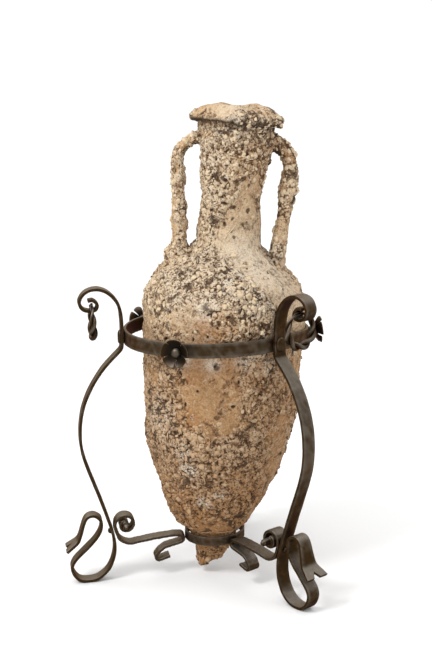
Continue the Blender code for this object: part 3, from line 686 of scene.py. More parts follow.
def stain_and_shade_low(heights):
    """How brown and dark the crust is at heights on the vessel, a stain with painted shade in it: more under
    the hoop, and again near the toe.
    """
    return 0.6 * (1 - between(heights, *HOOP_STAIN_AND_SHADE)) + 0.4 * (1 - between(heights, *TOE_STAIN_AND_SHADE))


def shade_and_stain_under_rim(points):
    """1 on the neck right under the rim and on the rim's lower edge, 0 elsewhere: where brown stain and painted
    shade under the rim go.
    """
    reach, height = polar(points)
    neck = between(height, *LIP_SHADE) * (height < LIP_FOOT) * (reach < HANDLE_GAP)
    wavy = height + 0.005 * field(points, 0.018)
    edge = (1 - between(wavy, *LIP_EDGE)) * (height > LIP_FOOT - 0.006) * (reach > HANDLE_GAP - 0.008)
    return np.maximum(0.5 * neck, edge)


def shaded_crevices(points):
    """Share of crevice at each point, with ragged edges; its darkness is painted shade."""
    return amounts(moved_about(points, 0.006, 0.010, (2.0, 6.0, 8.0)), SHADED_CREVICE_PLACES)


def on_handles(points):
    """1 on the handles, 0 elsewhere, at points in the vessel's own frame."""
    reach, height = polar(points)
    return ((reach > HANDLE_GAP) & within(height, HANDLE_BAND)).astype(float)


def crust_layers(points, settings):
    """(relief in metres, crust share) at points of the vessel's outside."""
    thick = 0.5 + 0.7 * field(points, 0.085) + amounts(points, CRUST_PLACES)
    cover = between(thick, 0.0, 1.0)
    flaky = fractal(points, settings.plate_size, 4) * 0.5 + (cover - 0.45) * 0.9
    plate = between(flaky, -0.08, 0.12)
    upper = between(flaky, 0.26, 0.40)
    warped = moved_about(points, *WARP, (1.0, 5.0, 9.0))
    big, big_size = cobbles(warped, settings.lump_size)
    small, small_size = cobbles(warped, settings.lump_size * SMALL_LUMPS[1], 11.0)
    pit, pit_size = cobbles(warped, HOLE_SPACING, 5.0)
    pitted = between(pit, 0.955, 0.985) * (pit_size > 0.50) * between(field(points, 0.07, 3.0), -0.35, 0.05)
    relief = settings.plate_depth * (0.55 * plate + 0.60 * upper) * (0.35 + 0.65 * cover)
    relief += settings.lump_depth * (big - 0.7) * (0.3 + 1.1 * big_size) * (0.10 + 0.90 * cover)
    relief += SWELL[0] * field(points, SWELL[1], 7.0) * (0.3 + 0.7 * cover)
    small_depth = SMALL_LUMPS[0] * settings.lump_depth
    relief += small_depth * (small - 0.7) * (0.3 + 1.2 * small_size) * (0.30 + 0.70 * cover)
    coral = np.array([noise.ridged_multi_fractal(Vector(point), 0.9, 2.2, 3, 1.0, 2.0)
                      for point in warped / settings.coral_size])
    relief += settings.coral_depth * (coral - 1.0) * cover ** 1.5
    relief += GRIT[0] * field(points, GRIT[1], 2.0) * (0.60 + 0.40 * cover)
    relief -= settings.pit_depth * pitted
    relief *= 1 - 0.75 * between(points[:, 2], *LIP_SMOOTH)
    return relief - SUNK, np.clip(0.15 * big_size + 0.55 * plate + 0.35 * upper, 0, 1)


def crusted_shell(settings):
    """High-resolution copy of the vessel with its crust as relief and as layers for the material."""
    source = NODES["amphora"].data.copy()
    mesh = settled(source, [("REMESH", {"mode": "VOXEL", "voxel_size": settings.grain}),
                            ("SMOOTH", {"factor": 0.5, "iterations": 4})])
    surface = Surface(mesh)
    points, normals = on_vessel(surface.points, surface.normals)
    inside = bore_mask(points, normals)
    outer = ~inside
    relief = BARE_GRAIN[0] * field(points, BARE_GRAIN[1])
    crust = np.full(surface.count, 0.3)
    relief[outer], crust[outer] = crust_layers(points[outer], settings)
    # Crevices: dented below, and darkened with painted shade in the material
    spots = shaded_crevices(points)
    relief -= SCAR_DEPTH * np.minimum(spots, 1.0) + WORN_DEPTH * amounts(points, WORN_PLACES)
    relief -= HANDLE_CALM * relief * on_handles(points)
    # Brown stain and painted shade under the rim
    lip = shade_and_stain_under_rim(points)
    # Browner stain with painted shade low on the body
    low = stain_and_shade_low(points[:, 2] + 0.035 * field(points, 0.05))
    # Painted shade on faces that look down, above the hoop line
    underside_shade_and_stain = between(surface.spread(-surface.normals[:, 2], 2), 0.35, 0.90) * (points[:, 2] > HOOP_LINE)
    outside = surface.spread(outer.astype(float), 3)
    surface.move(held_by_rings(surface.points, relief * outside))
    surface = Surface(mesh)
    # Hollows get painted shade and ridges a painted highlight in the material
    bulge = (surface.bulge(2) + surface.bulge(12) * 0.5) / settings.hollow_depth
    layers = {
        "crust": crust,
        "chalk": amounts(points, CHALK_PLACES),
        "rusty": amounts(points, RUST_PLACES),
        "low": low,
        "pale": amounts(points, PALE_PLACES),
        # Dirty crust, plus brown stain and painted shade under the rim
        "dirt_and_rim_shade": amounts(points, SOILED_PLACES) + lip,
        # Painted shade on undersides, plus part of the stain and painted shade under the rim
        "underside_shade_and_stain": underside_shade_and_stain + 0.30 * lip,
        "spots": spots,
        "hollow": -bulge,
        "ridge": bulge}
    for name, values in layers.items():
        surface.add_layer(name, values)
    return smooth_shaded(thinned_inside(mesh, outside))


def held_by_rings(points, relief):
    """Relief cut back where a ring of the stand holds the vessel."""
    for name in RINGS:
        low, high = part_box(name)
        middle = (low + high) / 2
        half_height = (high.z - low.z) / 2 + RING_ROOM
        reach = (high.x - low.x) / 2 - BAR_THICKNESS - HOOP_ROOM
        near = np.clip(1 - (np.abs(points[:, 2] - middle.z) - half_height) / RING_FADE, 0, 1)
        away = np.hypot(points[:, 0] - middle.x, points[:, 1] - middle.y)
        limited = np.minimum(relief, np.clip(reach - away, 0, 1))
        relief = relief * (1 - near) + limited * near
    return relief


def thinned_inside(mesh, outside):
    """Fewer faces on the bore, which only the mouth shows."""
    item = on_bench(mesh)
    group = item.vertex_groups.new(name="inside")
    group.add([int(i) for i in np.flatnonzero(outside < 0.02)], 1.0, "REPLACE")
    modifier = item.modifiers.new("thin", "DECIMATE")
    modifier.ratio = KEPT_SHARE
    modifier.vertex_group = "inside"
    modifier.vertex_group_factor = 1.0
    return off_bench(item)


def shell_half(whole, name, upper):
    """The shell's faces above or below the hoop's middle, where the hoop hides the joint."""
    level = node_middle("upper_ring").z
    work = bmesh.new()
    work.from_mesh(whole)
    away = [face for face in work.faces if (face.calc_center_median().z > level) != upper]
    bmesh.ops.delete(work, geom=away, context="FACES")
    return mesh_from(work, name)


# Growth on the shell

GROWTH_CEILING = CAD_BOX[1][2] - 0.006
NODULE_SUNK = 0.30
BARNACLE_SIDES = 9
BARNACLE_PROFILE = ((1.0, -0.25), (0.86, 0.25), (0.62, 0.62), (0.50, 0.74), (0.36, 0.66), (0.26, 0.30))
TUBE_SIDES = 6
TUBE_STEP = 0.0028
TUBE_STEPS = (7, 20)
SHORTEST_TUBE = 4
FLAKE_LIFT = 0.0006


class Shell:
    """The crusted vessel's faces, on which things grow."""

    def __init__(self, mesh):
        self.centres = read_array(mesh.polygons, "center").astype(float)
        self.normals = read_array(mesh.polygons, "normal").astype(float)
        self.points, turned = on_vessel(self.centres, self.normals)
        shut = bore_mask(self.points, turned) | ring_mask(self.centres)
        shut |= (self.centres[:, 2] > GROWTH_CEILING) | (self.points[:, 2] > LIP_GROWTH_TOP)
        self.areas = np.where(shut, 0, read_array(mesh.polygons, "area", 1)[:, 0])
        self.crust = amounts(self.points, CRUST_PLACES)
        self.colony = amounts(self.points, COLONY_PLACES).clip(0, 1) ** 2
        self.handle = on_handles(self.points)
        corners = [vert.co for vert in mesh.vertices]
        self.tree = BVHTree.FromPolygons(corners, [face.vertices[:] for face in mesh.polygons])


class Scatter:
    """Random spots on the shell and a mesh that collects what grows there."""

    def __init__(self, shell, seed):
        self.shell = shell
        self.dice = random.Random(seed)
        self.chance = np.random.default_rng(seed)
        self.vertices = []
        self.faces = []
        self.layers = {"foot": [], "tint": [], "low": []}

    def spots(self, count, weights):
        """That many (place, normal, height on the vessel) spots, chosen by weights of 0 to 1."""
        shell = self.shell
        odds = shell.areas * weights
        for pick in self.chance.choice(len(odds), count, p=odds / odds.sum()):
            yield Vector(shell.centres[pick]), Vector(shell.normals[pick]), shell.points[pick][2]

    def add(self, vertices, faces, foot, tint, height):
        start = len(self.vertices)
        self.vertices += vertices
        self.faces += [tuple(start + i for i in face) for face in faces]
        self.layers["foot"] += foot
        self.layers["tint"] += [tint] * len(vertices)
        # Browner stain with painted shade low on the vessel
        self.layers["low"] += [float(stain_and_shade_low(height))] * len(vertices)

    def piece(self, name, look):
        mesh = bpy.data.meshes.new(name)
        mesh.from_pydata(self.vertices, [], self.faces)
        for layer, values in self.layers.items():
            set_layer(mesh, layer, values)
        mesh.validate()
        add_piece(name, smooth_shaded(mesh), look)


def upright(place, normal, dice):
    """Matrix that stands a small piece on the surface with a random turn."""
    turn = normal.to_track_quat("Z", "Y").to_matrix().to_4x4()
    return Matrix.Translation(place) @ turn @ Matrix.Rotation(dice.uniform(0, 2 * pi), 4, "Z")


def ball():
    """Points and faces of a small ball."""
    work = bmesh.new()
    bmesh.ops.create_icosphere(work, subdivisions=2, radius=1.0)
    points = [vert.co.copy() for vert in work.verts]
    faces = [tuple(vert.index for vert in face.verts) for face in work.faces]
    work.free()
    return points, faces


def lofted_faces(rows, sides):
    """Quads between rings of points that follow each other."""
    faces = []
    for row in range(0, (rows - 1) * sides, sides):
        for k in range(sides):
            after = (k + 1) % sides
            faces.append((row + k, row + after, row + sides + after, row + sides + k))
    return faces


def end_faces(rows, sides):
    """Faces that close the first and the last ring."""
    last = (rows - 1) * sides
    return tuple(reversed(range(sides))), tuple(range(last, last + sides))


def circle(middle, across, up, radius, sides):
    """Points round a middle in the plane of two directions."""
    angles = [2 * pi * k / sides for k in range(sides)]
    return [middle + (across * cos(angle) + up * sin(angle)) * radius for angle in angles]


def grow_nodules(scatter, settings):
    """Rounded lumps, crowded in the colonies and on the handles."""
    points, faces = ball()
    # Painted shade on the lower part of each lump, where it meets the shell
    foot = [float(between(-point.z, -0.55, 0.25)) for point in points]
    shell = scatter.shell
    weights = between(0.42 + 0.8 * field(shell.points, 0.05) + 0.8 * shell.crust, 0.15, 1.1)
    weights = weights + 0.8 * shell.handle + 6 * shell.colony
    dice = scatter.dice
    for place, normal, height in scatter.spots(settings.nodules, weights):
        size = settings.nodule_size * (0.28 + 0.72 * dice.random() ** 2.6)
        matrix = upright(place - normal * size * NODULE_SUNK, normal, dice)
        shape = [size * dice.uniform(*span) for span in ((0.8, 1.5), (0.75, 1.1), (0.55, 0.95))]
        offset = Vector((dice.random(), dice.random(), dice.random())) * 40
        made = []
        for point in points:
            lumpy = 1 + 0.45 * noise.noise(point * 1.3 + offset) + 0.28 * noise.noise(point * 3.1 + offset)
            made.append(matrix @ Vector([side * part * lumpy for side, part in zip(shape, point)]))
        scatter.add(made, faces, foot, dice.random(), height)


def grow_barnacles(scatter, settings):
    """Small open cones, crowded in the colonies."""
    sides = BARNACLE_SIDES
    shell = scatter.shell
    weights = between(0.1 + 0.6 * field(shell.points, 0.035, 5.0), 0.1, 0.9) + 9 * shell.colony
    first, last = end_faces(len(BARNACLE_PROFILE), sides)
    faces = [*lofted_faces(len(BARNACLE_PROFILE), sides), last, first]
    # Painted shade at the base ring and on the cap that stands for the dark opening
    foot = [1.0] * sides + [0.0] * (len(BARNACLE_PROFILE) - 2) * sides + [1.0] * sides
    dice = scatter.dice
    for place, normal, height in scatter.spots(settings.barnacles, weights):
        size = settings.barnacle_size * (0.35 + 0.65 * dice.random() ** 2)
        matrix = upright(place, normal, dice)
        made = []
        for reach, rise in BARNACLE_PROFILE:
            for k in range(sides):
                angle = 2 * pi * k / sides
                far = size * reach * (1 + 0.14 * (k % 2) + dice.uniform(-0.07, 0.07))
                made.append(matrix @ Vector((far * cos(angle), far * sin(angle), size * rise)))
        scatter.add(made, faces, foot, dice.random() * 0.7, height)


def tube_line(scatter, place, normal, radius, steps):
    """Points and normals of a tube that wanders over the surface from a place."""
    dice = scatter.dice
    heading = normal.orthogonal().normalized()
    heading.rotate(Matrix.Rotation(dice.uniform(0, 2 * pi), 3, normal))
    bend = dice.uniform(-0.35, 0.35)
    here = place
    line = []
    for _ in range(steps):
        near, facing, _, _ = scatter.shell.tree.find_nearest(here)
        if ring_mask(np.array([near]))[0] or near.z > GROWTH_CEILING:
            break
        line.append((near + facing * radius * 0.7, facing))
        bend = 0.7 * bend + dice.uniform(-0.28, 0.28)
        heading = (heading - facing * heading.dot(facing)).normalized()
        heading.rotate(Matrix.Rotation(bend, 3, facing))
        here = near + heading * TUBE_STEP
    return line


def grow_tubes(scatter, settings):
    """Lime tubes that wander over the surface."""
    shell = scatter.shell
    weights = between(0.2 + 0.8 * field(shell.points, 0.06, 2.0), 0.1, 0.8)
    # Painted shade on the side of a tube that faces the shell
    around = [float(between(-sin(2 * pi * k / TUBE_SIDES), -0.2, 0.9)) for k in range(TUBE_SIDES)]
    dice = scatter.dice
    for place, normal, height in scatter.spots(settings.tubes, weights):
        radius = settings.tube_radius * dice.uniform(0.55, 1.25)
        line = tube_line(scatter, place, normal, radius, dice.randint(*TUBE_STEPS))
        if len(line) < SHORTEST_TUBE:
            continue
        made = []
        for i, (middle, facing) in enumerate(line):
            ahead = line[min(i + 1, len(line) - 1)][0] - line[max(i - 1, 0)][0]
            across = ahead.cross(facing).normalized()
            made += circle(middle, across, across.cross(ahead).normalized(), radius, TUBE_SIDES)
        faces = [*lofted_faces(len(line), TUBE_SIDES), *end_faces(len(line), TUBE_SIDES)]
        scatter.add(made, faces, around * len(line), dice.random() * 0.5, height)


def grow_flakes(scatter, settings):
    """Thin angular plates, half sunk in the crust and tilted."""
    shell = scatter.shell
    weights = between(0.15 + 0.5 * field(shell.points, 0.04, 1.0) + 0.9 * shell.crust, 0.1, 1.0)
    dice = scatter.dice
    for place, normal, height in scatter.spots(settings.flakes, weights):
        size = settings.flake_size * (0.3 + 0.7 * dice.random() ** 2)
        sides = dice.randint(5, 8)
        tilt = Matrix.Rotation(dice.uniform(0.1, 0.65), 4, "X")
        matrix = upright(place + normal * FLAKE_LIFT, normal, dice) @ tilt
        thick = size * dice.uniform(0.16, 0.30)
        angles = sorted(2 * pi * (k + dice.uniform(-0.3, 0.3)) / sides for k in range(sides))
        reach = [size * dice.uniform(0.6, 1.1) for _ in range(sides)]
        made = []
        for rise, share in ((-thick, 0.8), (0.0, 1.0), (thick, 0.82)):
            for angle, far in zip(angles, reach):
                lift = rise + thick * dice.uniform(-0.25, 0.25)
                made.append(matrix @ Vector((far * share * cos(angle), far * share * sin(angle), lift)))
        made.append(matrix @ Vector((0, 0, thick * 1.1)))
        faces = lofted_faces(3, sides)
        faces += [(2 * sides + k, 2 * sides + (k + 1) % sides, 3 * sides) for k in range(sides)]
        faces.append(end_faces(3, sides)[0])
        # Painted shade on the lower side of a flake
        foot = [0.9] * sides + [0.4] * sides + [0.0] * (sides + 1)
        scatter.add(made, faces, foot, dice.random(), height)


# Forged iron

# Bars: the angle over which an edge is sharp, that under which faces are flat, and the subdivisions
SHARP_ANGLE = radians(42)
FLAT_ANGLE = radians(2.5)
BAR_LEVELS = {"levels": 2, "render_levels": 2}

# Flowers: petals, faces across and along one, its foot as a share of the radius, depth of the cup, uneven
# tilt, place of the hub behind the front, turn round the hub and wear of the boss
PETALS = 5
PETAL_GRID = (8, 8)
PETAL_FOOT = 0.16
PETAL_CUP = 0.0135
PETAL_TILT = 0.0014
HUB_DEPTH = 0.016
FLOWER_TURN = radians(18)
BOSS_WEAR = 0.55

# Hanging rings: radius of the rope where thin and thick, a strand's share of it, twists, rows and sides
ROPE_THIN = 0.0042
ROPE_THICK = 0.0092
STRAND_SHARE = 0.53
ROPE_TWISTS = 3.5
ROPE_ROWS = 200
ROPE_SIDES = 10


def iron_layers(mesh, hammer, rounds=3, reach=0.0005):
    """Uneven hammered faces, and layers that say where an edge is rubbed and where a hollow gets painted shade.
    """
    surface = Surface(mesh)
    dents = np.array([noise.noise(Vector(p) / 0.018) + 0.5 * noise.noise(Vector(p) / 0.007)
                      for p in surface.points])
    surface.move(dents * hammer - hammer * 0.4)
    surface = Surface(mesh)
    bulge = surface.bulge(rounds)
    surface.add_layer("worn", bulge / reach)
    # Painted shade in hollows
    surface.add_layer("deep", -bulge / reach - 0.2)
    return smooth_shaded(mesh)


def forged_node(name, settings, look, hammer=1.0):
    """Smooth, edge-rounded and hammered copy of one of the frame's flat-bar nodes, which it replaces."""
    work = bmesh.new()
    work.from_mesh(NODES[name].data)
    bmesh.ops.remove_doubles(work, verts=work.verts, dist=0.00002)
    bmesh.ops.join_triangles(work, faces=work.faces, angle_face_threshold=FLAT_ANGLE,
                             angle_shape_threshold=pi)
    crease = work.edges.layers.float.new("crease_edge")
    for edge in work.edges:
        if edge.calc_face_angle(0) > SHARP_ANGLE:
            edge[crease] = 1.0
    rounded = {"width": settings.edge, "segments": 3, "limit_method": "ANGLE", "angle_limit": SHARP_ANGLE}
    mesh = settled(mesh_from(work, name), [("SUBSURF", BAR_LEVELS), ("BEVEL", rounded)])
    mesh = iron_layers(mesh, settings.hammer * hammer)
    add_piece("forged_" + name, mesh, look, (name,))


def remeshed_node(name, settings, look):
    """Forged copy of a strut, in which knot, core and bar run into each other."""
    mesh = settled(NODES[name].data.copy(), [
        ("REMESH", {"mode": "VOXEL", "voxel_size": settings.knot_grain}),
        ("SMOOTH", {"factor": 0.5, "iterations": 6})])
    mesh = iron_layers(mesh, settings.hammer * 1.3, rounds=6, reach=0.0007)
    add_piece("forged_" + name, mesh, look, (name,))


def outward_matrix(place):
    """Matrix at a place of the stand with +Z pointing away from the stand's axis and +Y up."""
    middle = node_middle("upper_ring")
    out = Vector((place.x - middle.x, place.y - middle.y, 0)).normalized()
    up = Vector((0, 0, 1))
    turn = Matrix((up.cross(out), up, out)).transposed()
    return Matrix.Translation(place) @ turn.to_4x4()


def corners_from(matrix, name):
    """Corners of one of the frame's nodes, seen from a matrix."""
    inverse = matrix.inverted()
    return [inverse @ vert.co for vert in NODES[name].data.vertices]


def petal_mesh(radius, stem, settings):
    """Five cupped petals with slits between them round a hub on a short stem; +Z is the open side."""
    across, along = PETAL_GRID
    work = bmesh.new()
    for petal in range(PETALS):
        grid = []
        for j in range(along + 1):
            v = PETAL_FOOT + (1 - PETAL_FOOT) * j / along
            row = []
            for i in range(across + 1):
                u = 2 * i / across - 1
                share = 1.04 - 0.11 * max(0.0, v - 0.45) / 0.55
                angle = 2 * pi * petal / PETALS + u * pi / PETALS * share
                reach = radius * v * (1 - 0.05 * v * u ** 4)
                lift = PETAL_CUP * (0.10 * v + 0.90 * v ** 2.4) + PETAL_TILT * u * v
                row.append(work.verts.new((reach * cos(angle), reach * sin(angle), lift)))
            grid.append(row)
        for low, high in zip(grid, grid[1:]):
            for i in range(across):
                work.faces.new((low[i], low[i + 1], high[i + 1], high[i]))
    mesh = settled(mesh_from(work, "petals"), [
        ("SOLIDIFY", {"thickness": settings.petal_sheet, "offset": -1.0}),
        ("SUBSURF", {"levels": 1, "render_levels": 1})])
    work = bmesh.new()
    work.from_mesh(mesh)
    discs = ((-stem, 0.0015, 0.27), (-stem, -stem + 0.003, 0.42), (-0.001, 0.002, 0.40))
    for low, high, reach in discs:
        made = bmesh.ops.create_cone(work, cap_ends=True, segments=20, radius1=radius * reach,
                                     radius2=radius * reach * 0.94, depth=high - low)
        bmesh.ops.translate(work, verts=made["verts"], vec=(0, 0, (low + high) / 2))
    return mesh_from(work, "rosette")


def build_flower(side, settings, look):
    """One rosette, opened outward on the hoop, in the place of the frame's node."""
    name = "rosette_" + side
    matrix = outward_matrix(node_middle("boss_" + side))
    corners = corners_from(matrix, name)
    back = min(corner.z for corner in corners)
    radius = max(corner.xy.length for corner in corners)
    hub = max(corner.z for corner in corners) - HUB_DEPTH
    mesh = petal_mesh(radius, hub - back, settings)
    reaches = np.array([vert.co.xy.length / radius for vert in mesh.vertices])
    rises = np.array([vert.co.z for vert in mesh.vertices])
    # Painted shade, with a dark deposit, in the cup round the hub
    inside = between(1 - reaches, 0.05, 0.45) * between(rises, -0.001, 0.001)
    mesh.transform(matrix @ Matrix.Translation((0, 0, hub)) @ Matrix.Rotation(FLOWER_TURN, 4, "Z"))
    mesh = iron_layers(mesh, settings.hammer * 0.8, rounds=2, reach=0.0003)
    set_layer(mesh, "deep", inside)
    # Wear and a painted highlight on the petals' rims
    set_layer(mesh, "worn", between(reaches, 0.90, 0.99) * 0.8)
    add_piece("petals_" + side, mesh, look, (name,))


def build_boss(side, settings, look):
    """Round hammered head in the middle of a rosette, as wide and as high as the frame's node."""
    name = "boss_" + side
    matrix = outward_matrix(node_middle(name))
    corners = corners_from(matrix, name)
    half = [max(corner[axis] for corner in corners) for axis in range(3)]
    work = bmesh.new()
    bmesh.ops.create_icosphere(work, subdivisions=4, radius=1.0)
    for vert in work.verts:
        vert.co = matrix @ Vector([reach * part for reach, part in zip(half, vert.co)])
    mesh = iron_layers(mesh_from(work, name), settings.hammer * 0.8)
    set_layer(mesh, "worn", [BOSS_WEAR] * len(mesh.vertices))
    add_piece("forged_" + name, mesh, look, (name,))


def build_rope_ring(side, settings, look):
    """Ring of two twisted strands, thin where it hangs over the scroll's eye."""
    name = "hanging_ring_" + side
    low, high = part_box(name)
    matrix = outward_matrix(node_middle(name))
    radius = (high.z - low.z) / 2 - 0.5 * (ROPE_THIN + ROPE_THICK)
    rise = 0.5 * (ROPE_THICK - ROPE_THIN)
    across = Vector((0, 0, 1))
    line = []
    for i in range(ROPE_ROWS):
        turn = 4 * pi * i / ROPE_ROWS
        heavy = min(1.0, 1.5 * (0.5 - 0.5 * cos(turn)))
        reach = ROPE_THIN + (ROPE_THICK - ROPE_THIN) * heavy
        strand = STRAND_SHARE * reach
        out = Vector((sin(turn), cos(turn), 0))
        twist = ROPE_TWISTS * turn
        axis = out * radius + Vector((0, rise, 0))
        centre = axis + (out * cos(twist) + across * sin(twist)) * (reach - strand)
        line.append((centre, strand, axis, reach))
    vertices = []
    outmost = []
    faces = []
    for i, (centre, strand, axis, reach) in enumerate(line):
        following = (i + 1) % ROPE_ROWS
        ahead = (line[following][0] - line[i - 1][0]).normalized()
        beside = ahead.cross(across).normalized()
        ring = circle(centre, beside, beside.cross(ahead), strand, ROPE_SIDES)
        vertices += ring
        outmost += [(point - axis).length / reach for point in ring]
        here, there = i * ROPE_SIDES, following * ROPE_SIDES
        for k in range(ROPE_SIDES):
            after = (k + 1) % ROPE_SIDES
            faces.append((here + k, there + k, there + after, here + after))
    mesh = bpy.data.meshes.new(name)
    mesh.from_pydata(vertices, [], faces)
    mesh.transform(matrix)
    mesh = iron_layers(mesh, settings.hammer * 0.5)
    # Painted highlight on the strands' outer faces
    set_layer(mesh, "worn", between(outmost, 0.86, 1.0) * 0.9)
    # Painted shade between the strands
    set_layer(mesh, "deep", 1 - between(outmost, 0.30, 0.74))
    add_piece("rope_" + side, mesh, look, (name,))


# Operators

WHOLE_SHELL = "whole_shell"


class AMPHORA_OT_shell(bpy.types.Operator):
    """Makes the crusted vessel in place of the frame's amphora, as two halves that meet behind the hoop"""
    bl_idname = "amphora.shell"
    bl_label = "Crusted vessel"

    def execute(self, context):
        settings = context.scene.amphora_shell
        whole = crusted_shell(settings)
        whole.name = WHOLE_SHELL
        look = clay_material(settings)
        for name, upper in (("crusted_body", False), ("crusted_shoulder", True)):
            add_piece(name, shell_half(whole, name, upper), look, ("amphora",))
        return {"FINISHED"}


def found_shell():
    shell = bpy.data.meshes.get(WHOLE_SHELL)
    if shell is None:
        raise RuntimeError("make the crusted vessel before its growth")
    return shell


class AMPHORA_OT_growth(bpy.types.Operator):
    """Scatters nodules, barnacles, worm tubes and flakes over the crusted vessel"""
    bl_idname = "amphora.growth"
    bl_label = "Marine growth"

    def execute(self, context):
        settings = context.scene.amphora_growth
        colours = context.scene.amphora_shell
        shell = Shell(found_shell())
        lime = growth_material("lime_growth", colours.cream, colours.pale, colours)
        chalk = growth_material("chalk_growth", colours.cream, colours.umber_and_hollow_shade, colours)
        kinds = (("nodules", grow_nodules, lime), ("barnacles", grow_barnacles, chalk),
                 ("worm_tubes", grow_tubes, chalk), ("crust_flakes", grow_flakes, lime))
        for turn, (name, grow, look) in enumerate(kinds):
            scatter = Scatter(shell, settings.seed + turn)
            grow(scatter, settings)
            scatter.piece(name, look)
        return {"FINISHED"}


class AMPHORA_OT_hoops(bpy.types.Operator):
    """Makes the belly hoop and the small ring under the taper"""
    bl_idname = "amphora.hoops"
    bl_label = "Hoops"

    def execute(self, context):
        settings = context.scene.amphora_iron
        look = iron_material(settings)
        for name in RINGS:
            forged_node(name, settings, look)
        return {"FINISHED"}


class AMPHORA_OT_legs(bpy.types.Operator):
    """Makes the three scrolled legs with their plates and rivets"""
    bl_idname = "amphora.legs"
    bl_label = "Legs"

    def execute(self, context):
        settings = context.scene.amphora_iron
        look = iron_material(settings)
        for side in SIDES:
            forged_node("leg_" + side, settings, look)
            forged_node("joint_plate_" + side, settings, look, hammer=0.6)
            forged_node("rivet_" + side, settings, look, hammer=0.5)
        return {"FINISHED"}


class AMPHORA_OT_struts(bpy.types.Operator):
    """Makes the three struts with their rolled knots"""
    bl_idname = "amphora.struts"
    bl_label = "Struts"

    def execute(self, context):
        settings = context.scene.amphora_iron
        look = iron_material(settings)
        for side in SIDES:
            remeshed_node("strut_" + side, settings, look)
        return {"FINISHED"}


class AMPHORA_OT_flowers(bpy.types.Operator):
    """Makes the rosettes on the hoop and their bosses"""
    bl_idname = "amphora.flowers"
    bl_label = "Rosettes"

    def execute(self, context):
        settings = context.scene.amphora_iron
        look = iron_material(settings)
        for side in FLOWERS:
            build_flower(side, settings, look)
            build_boss(side, settings, look)
        return {"FINISHED"}


class AMPHORA_OT_ropes(bpy.types.Operator):
    """Makes the twisted rings that hang in the scrolls"""
    bl_idname = "amphora.ropes"
    bl_label = "Hanging rings"

    def execute(self, context):
        settings = context.scene.amphora_iron
        look = iron_material(settings)
        for side in SIDES:
            build_rope_ring(side, settings, look)
        return {"FINISHED"}


def overhead_sky(settings):
    """Even light that fades from overhead to the horizon, where it is as bright as the open floor.

    The share of the overhead light that the horizon keeps follows from the floor's own reflectance: an even
    rise with the sine of the elevation puts two thirds of the difference on the floor.
    """
    reflectance = sum(settings.floor) / 3
    horizon = settings.zenith * reflectance * 2 / (3 - reflectance)
    world = bpy.data.worlds.new("overhead_sky")
    world.use_nodes = True
    nodes = world.node_tree.nodes
    links = world.node_tree.links
    place = nodes.new("ShaderNodeTexCoord")
    parts = nodes.new("ShaderNodeSeparateXYZ")
    rise = nodes.new("ShaderNodeMapRange")
    rise.inputs["To Min"].default_value = horizon
    rise.inputs["To Max"].default_value = settings.zenith
    links.new(place.outputs["Generated"], parts.inputs["Vector"])
    links.new(parts.outputs["Z"], rise.inputs["Value"])
    links.new(rise.outputs["Result"], nodes["Background"].inputs["Strength"])
    nodes["Background"].inputs["Color"].default_value = (1, 1, 1, 1)
    return world


def add_light(name, place, target, size, power):
    light = bpy.data.lights.new(name, "AREA")
    light.shape = "DISK"
    light.size = size
    light.energy = power
    item = bpy.data.objects.new(name, light)
    item.location = place
    item.rotation_mode = "QUATERNION"
    item.rotation_quaternion = (Vector(target) - Vector(place)).to_track_quat("-Z", "Y")
    item.visible_camera = False
    bpy.context.scene.collection.objects.link(item)


def add_camera():
    """Camera where the photograph was taken from."""
    data = bpy.data.cameras.new("photo_view")
    data.sensor_width = SENSOR_MM
    data.lens = LENS_PIXELS * SENSOR_MM / PHOTO_LONG_SIDE
    forward = Vector((0, cos(CAMERA_PITCH), -sin(CAMERA_PITCH)))
    level_up = Vector((0, sin(CAMERA_PITCH), cos(CAMERA_PITCH)))
    level_right = Vector((1, 0, 0))
    right = cos(CAMERA_ROLL) * level_right + sin(CAMERA_ROLL) * level_up
    up = cos(CAMERA_ROLL) * level_up - sin(CAMERA_ROLL) * level_right
    camera = bpy.data.objects.new("photo_view", data)
    turn = Matrix((right, up, -forward)).transposed().to_4x4()
    camera.matrix_world = Matrix.Translation(CAMERA_PLACE) @ turn
    bpy.context.scene.collection.objects.link(camera)
    bpy.context.scene.camera = camera


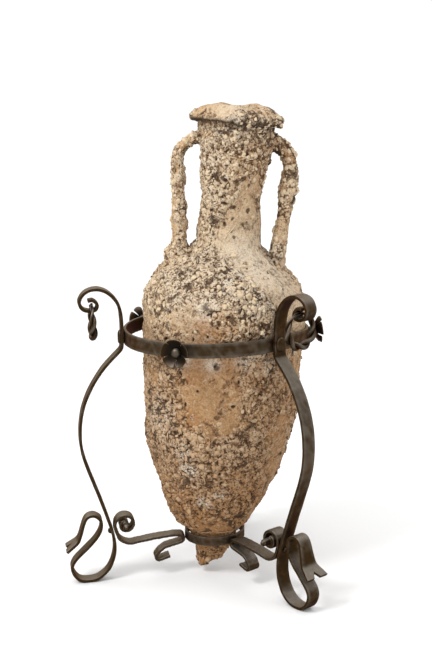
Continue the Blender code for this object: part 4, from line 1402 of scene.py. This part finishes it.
class AMPHORA_OT_stage(bpy.types.Operator):
    """Makes the pale floor, the soft lights and the camera"""
    bl_idname = "amphora.stage"
    bl_label = "Studio"

    def execute(self, context):
        settings = context.scene.amphora_stage
        work = bmesh.new()
        bmesh.ops.create_circle(work, cap_ends=True, segments=FLOOR_SIDES, radius=settings.floor_radius)
        mesh = mesh_from(work, "floor")
        floor = bpy.data.objects.new("floor", mesh)
        mesh.materials.append(floor_material(settings))
        context.scene.collection.objects.link(floor)
        context.scene.world = overhead_sky(settings)
        add_light("key", KEY_PLACE, node_middle("amphora"), KEY_SIZE, settings.key_power)
        add_camera()
        context.scene.view_settings.view_transform = "Standard"
        return {"FINISHED"}


OPERATORS = (AMPHORA_OT_shell, AMPHORA_OT_growth, AMPHORA_OT_hoops, AMPHORA_OT_legs, AMPHORA_OT_struts,
             AMPHORA_OT_flowers, AMPHORA_OT_ropes, AMPHORA_OT_stage)


class AMPHORA_PT_sidebar(bpy.types.Panel):
    """Lists the pieces and their settings"""
    bl_label = "Amphora"
    bl_idname = "AMPHORA_PT_sidebar"
    bl_space_type = "VIEW_3D"
    bl_region_type = "UI"
    bl_category = "Amphora"

    def draw(self, context):
        for operator in OPERATORS:
            self.layout.operator(operator.bl_idname)
        for name in SETTINGS:
            group = getattr(context.scene, name)
            box = self.layout.box()
            for key in group.bl_rna.properties.keys():
                if key not in ("rna_type", "name"):
                    box.prop(group, key)


SETTINGS = {"amphora_shell": ShellSettings, "amphora_growth": GrowthSettings, "amphora_iron": IronSettings,
            "amphora_stage": StageSettings}
CLASSES = (*SETTINGS.values(), *OPERATORS, AMPHORA_PT_sidebar)


def register():
    for cls in CLASSES:
        bpy.utils.register_class(cls)
    for name, group in SETTINGS.items():
        setattr(bpy.types.Scene, name, PointerProperty(type=group))


def unregister():
    for name in SETTINGS:
        delattr(bpy.types.Scene, name)
    for cls in reversed(CLASSES):
        bpy.utils.unregister_class(cls)


def main():
    register()
    bpy.ops.amphora.shell()
    bpy.ops.amphora.growth()
    bpy.ops.amphora.hoops()
    bpy.ops.amphora.legs()
    bpy.ops.amphora.struts()
    bpy.ops.amphora.flowers()
    bpy.ops.amphora.ropes()
    bpy.ops.amphora.stage()


if __name__ == "__main__":
    main()
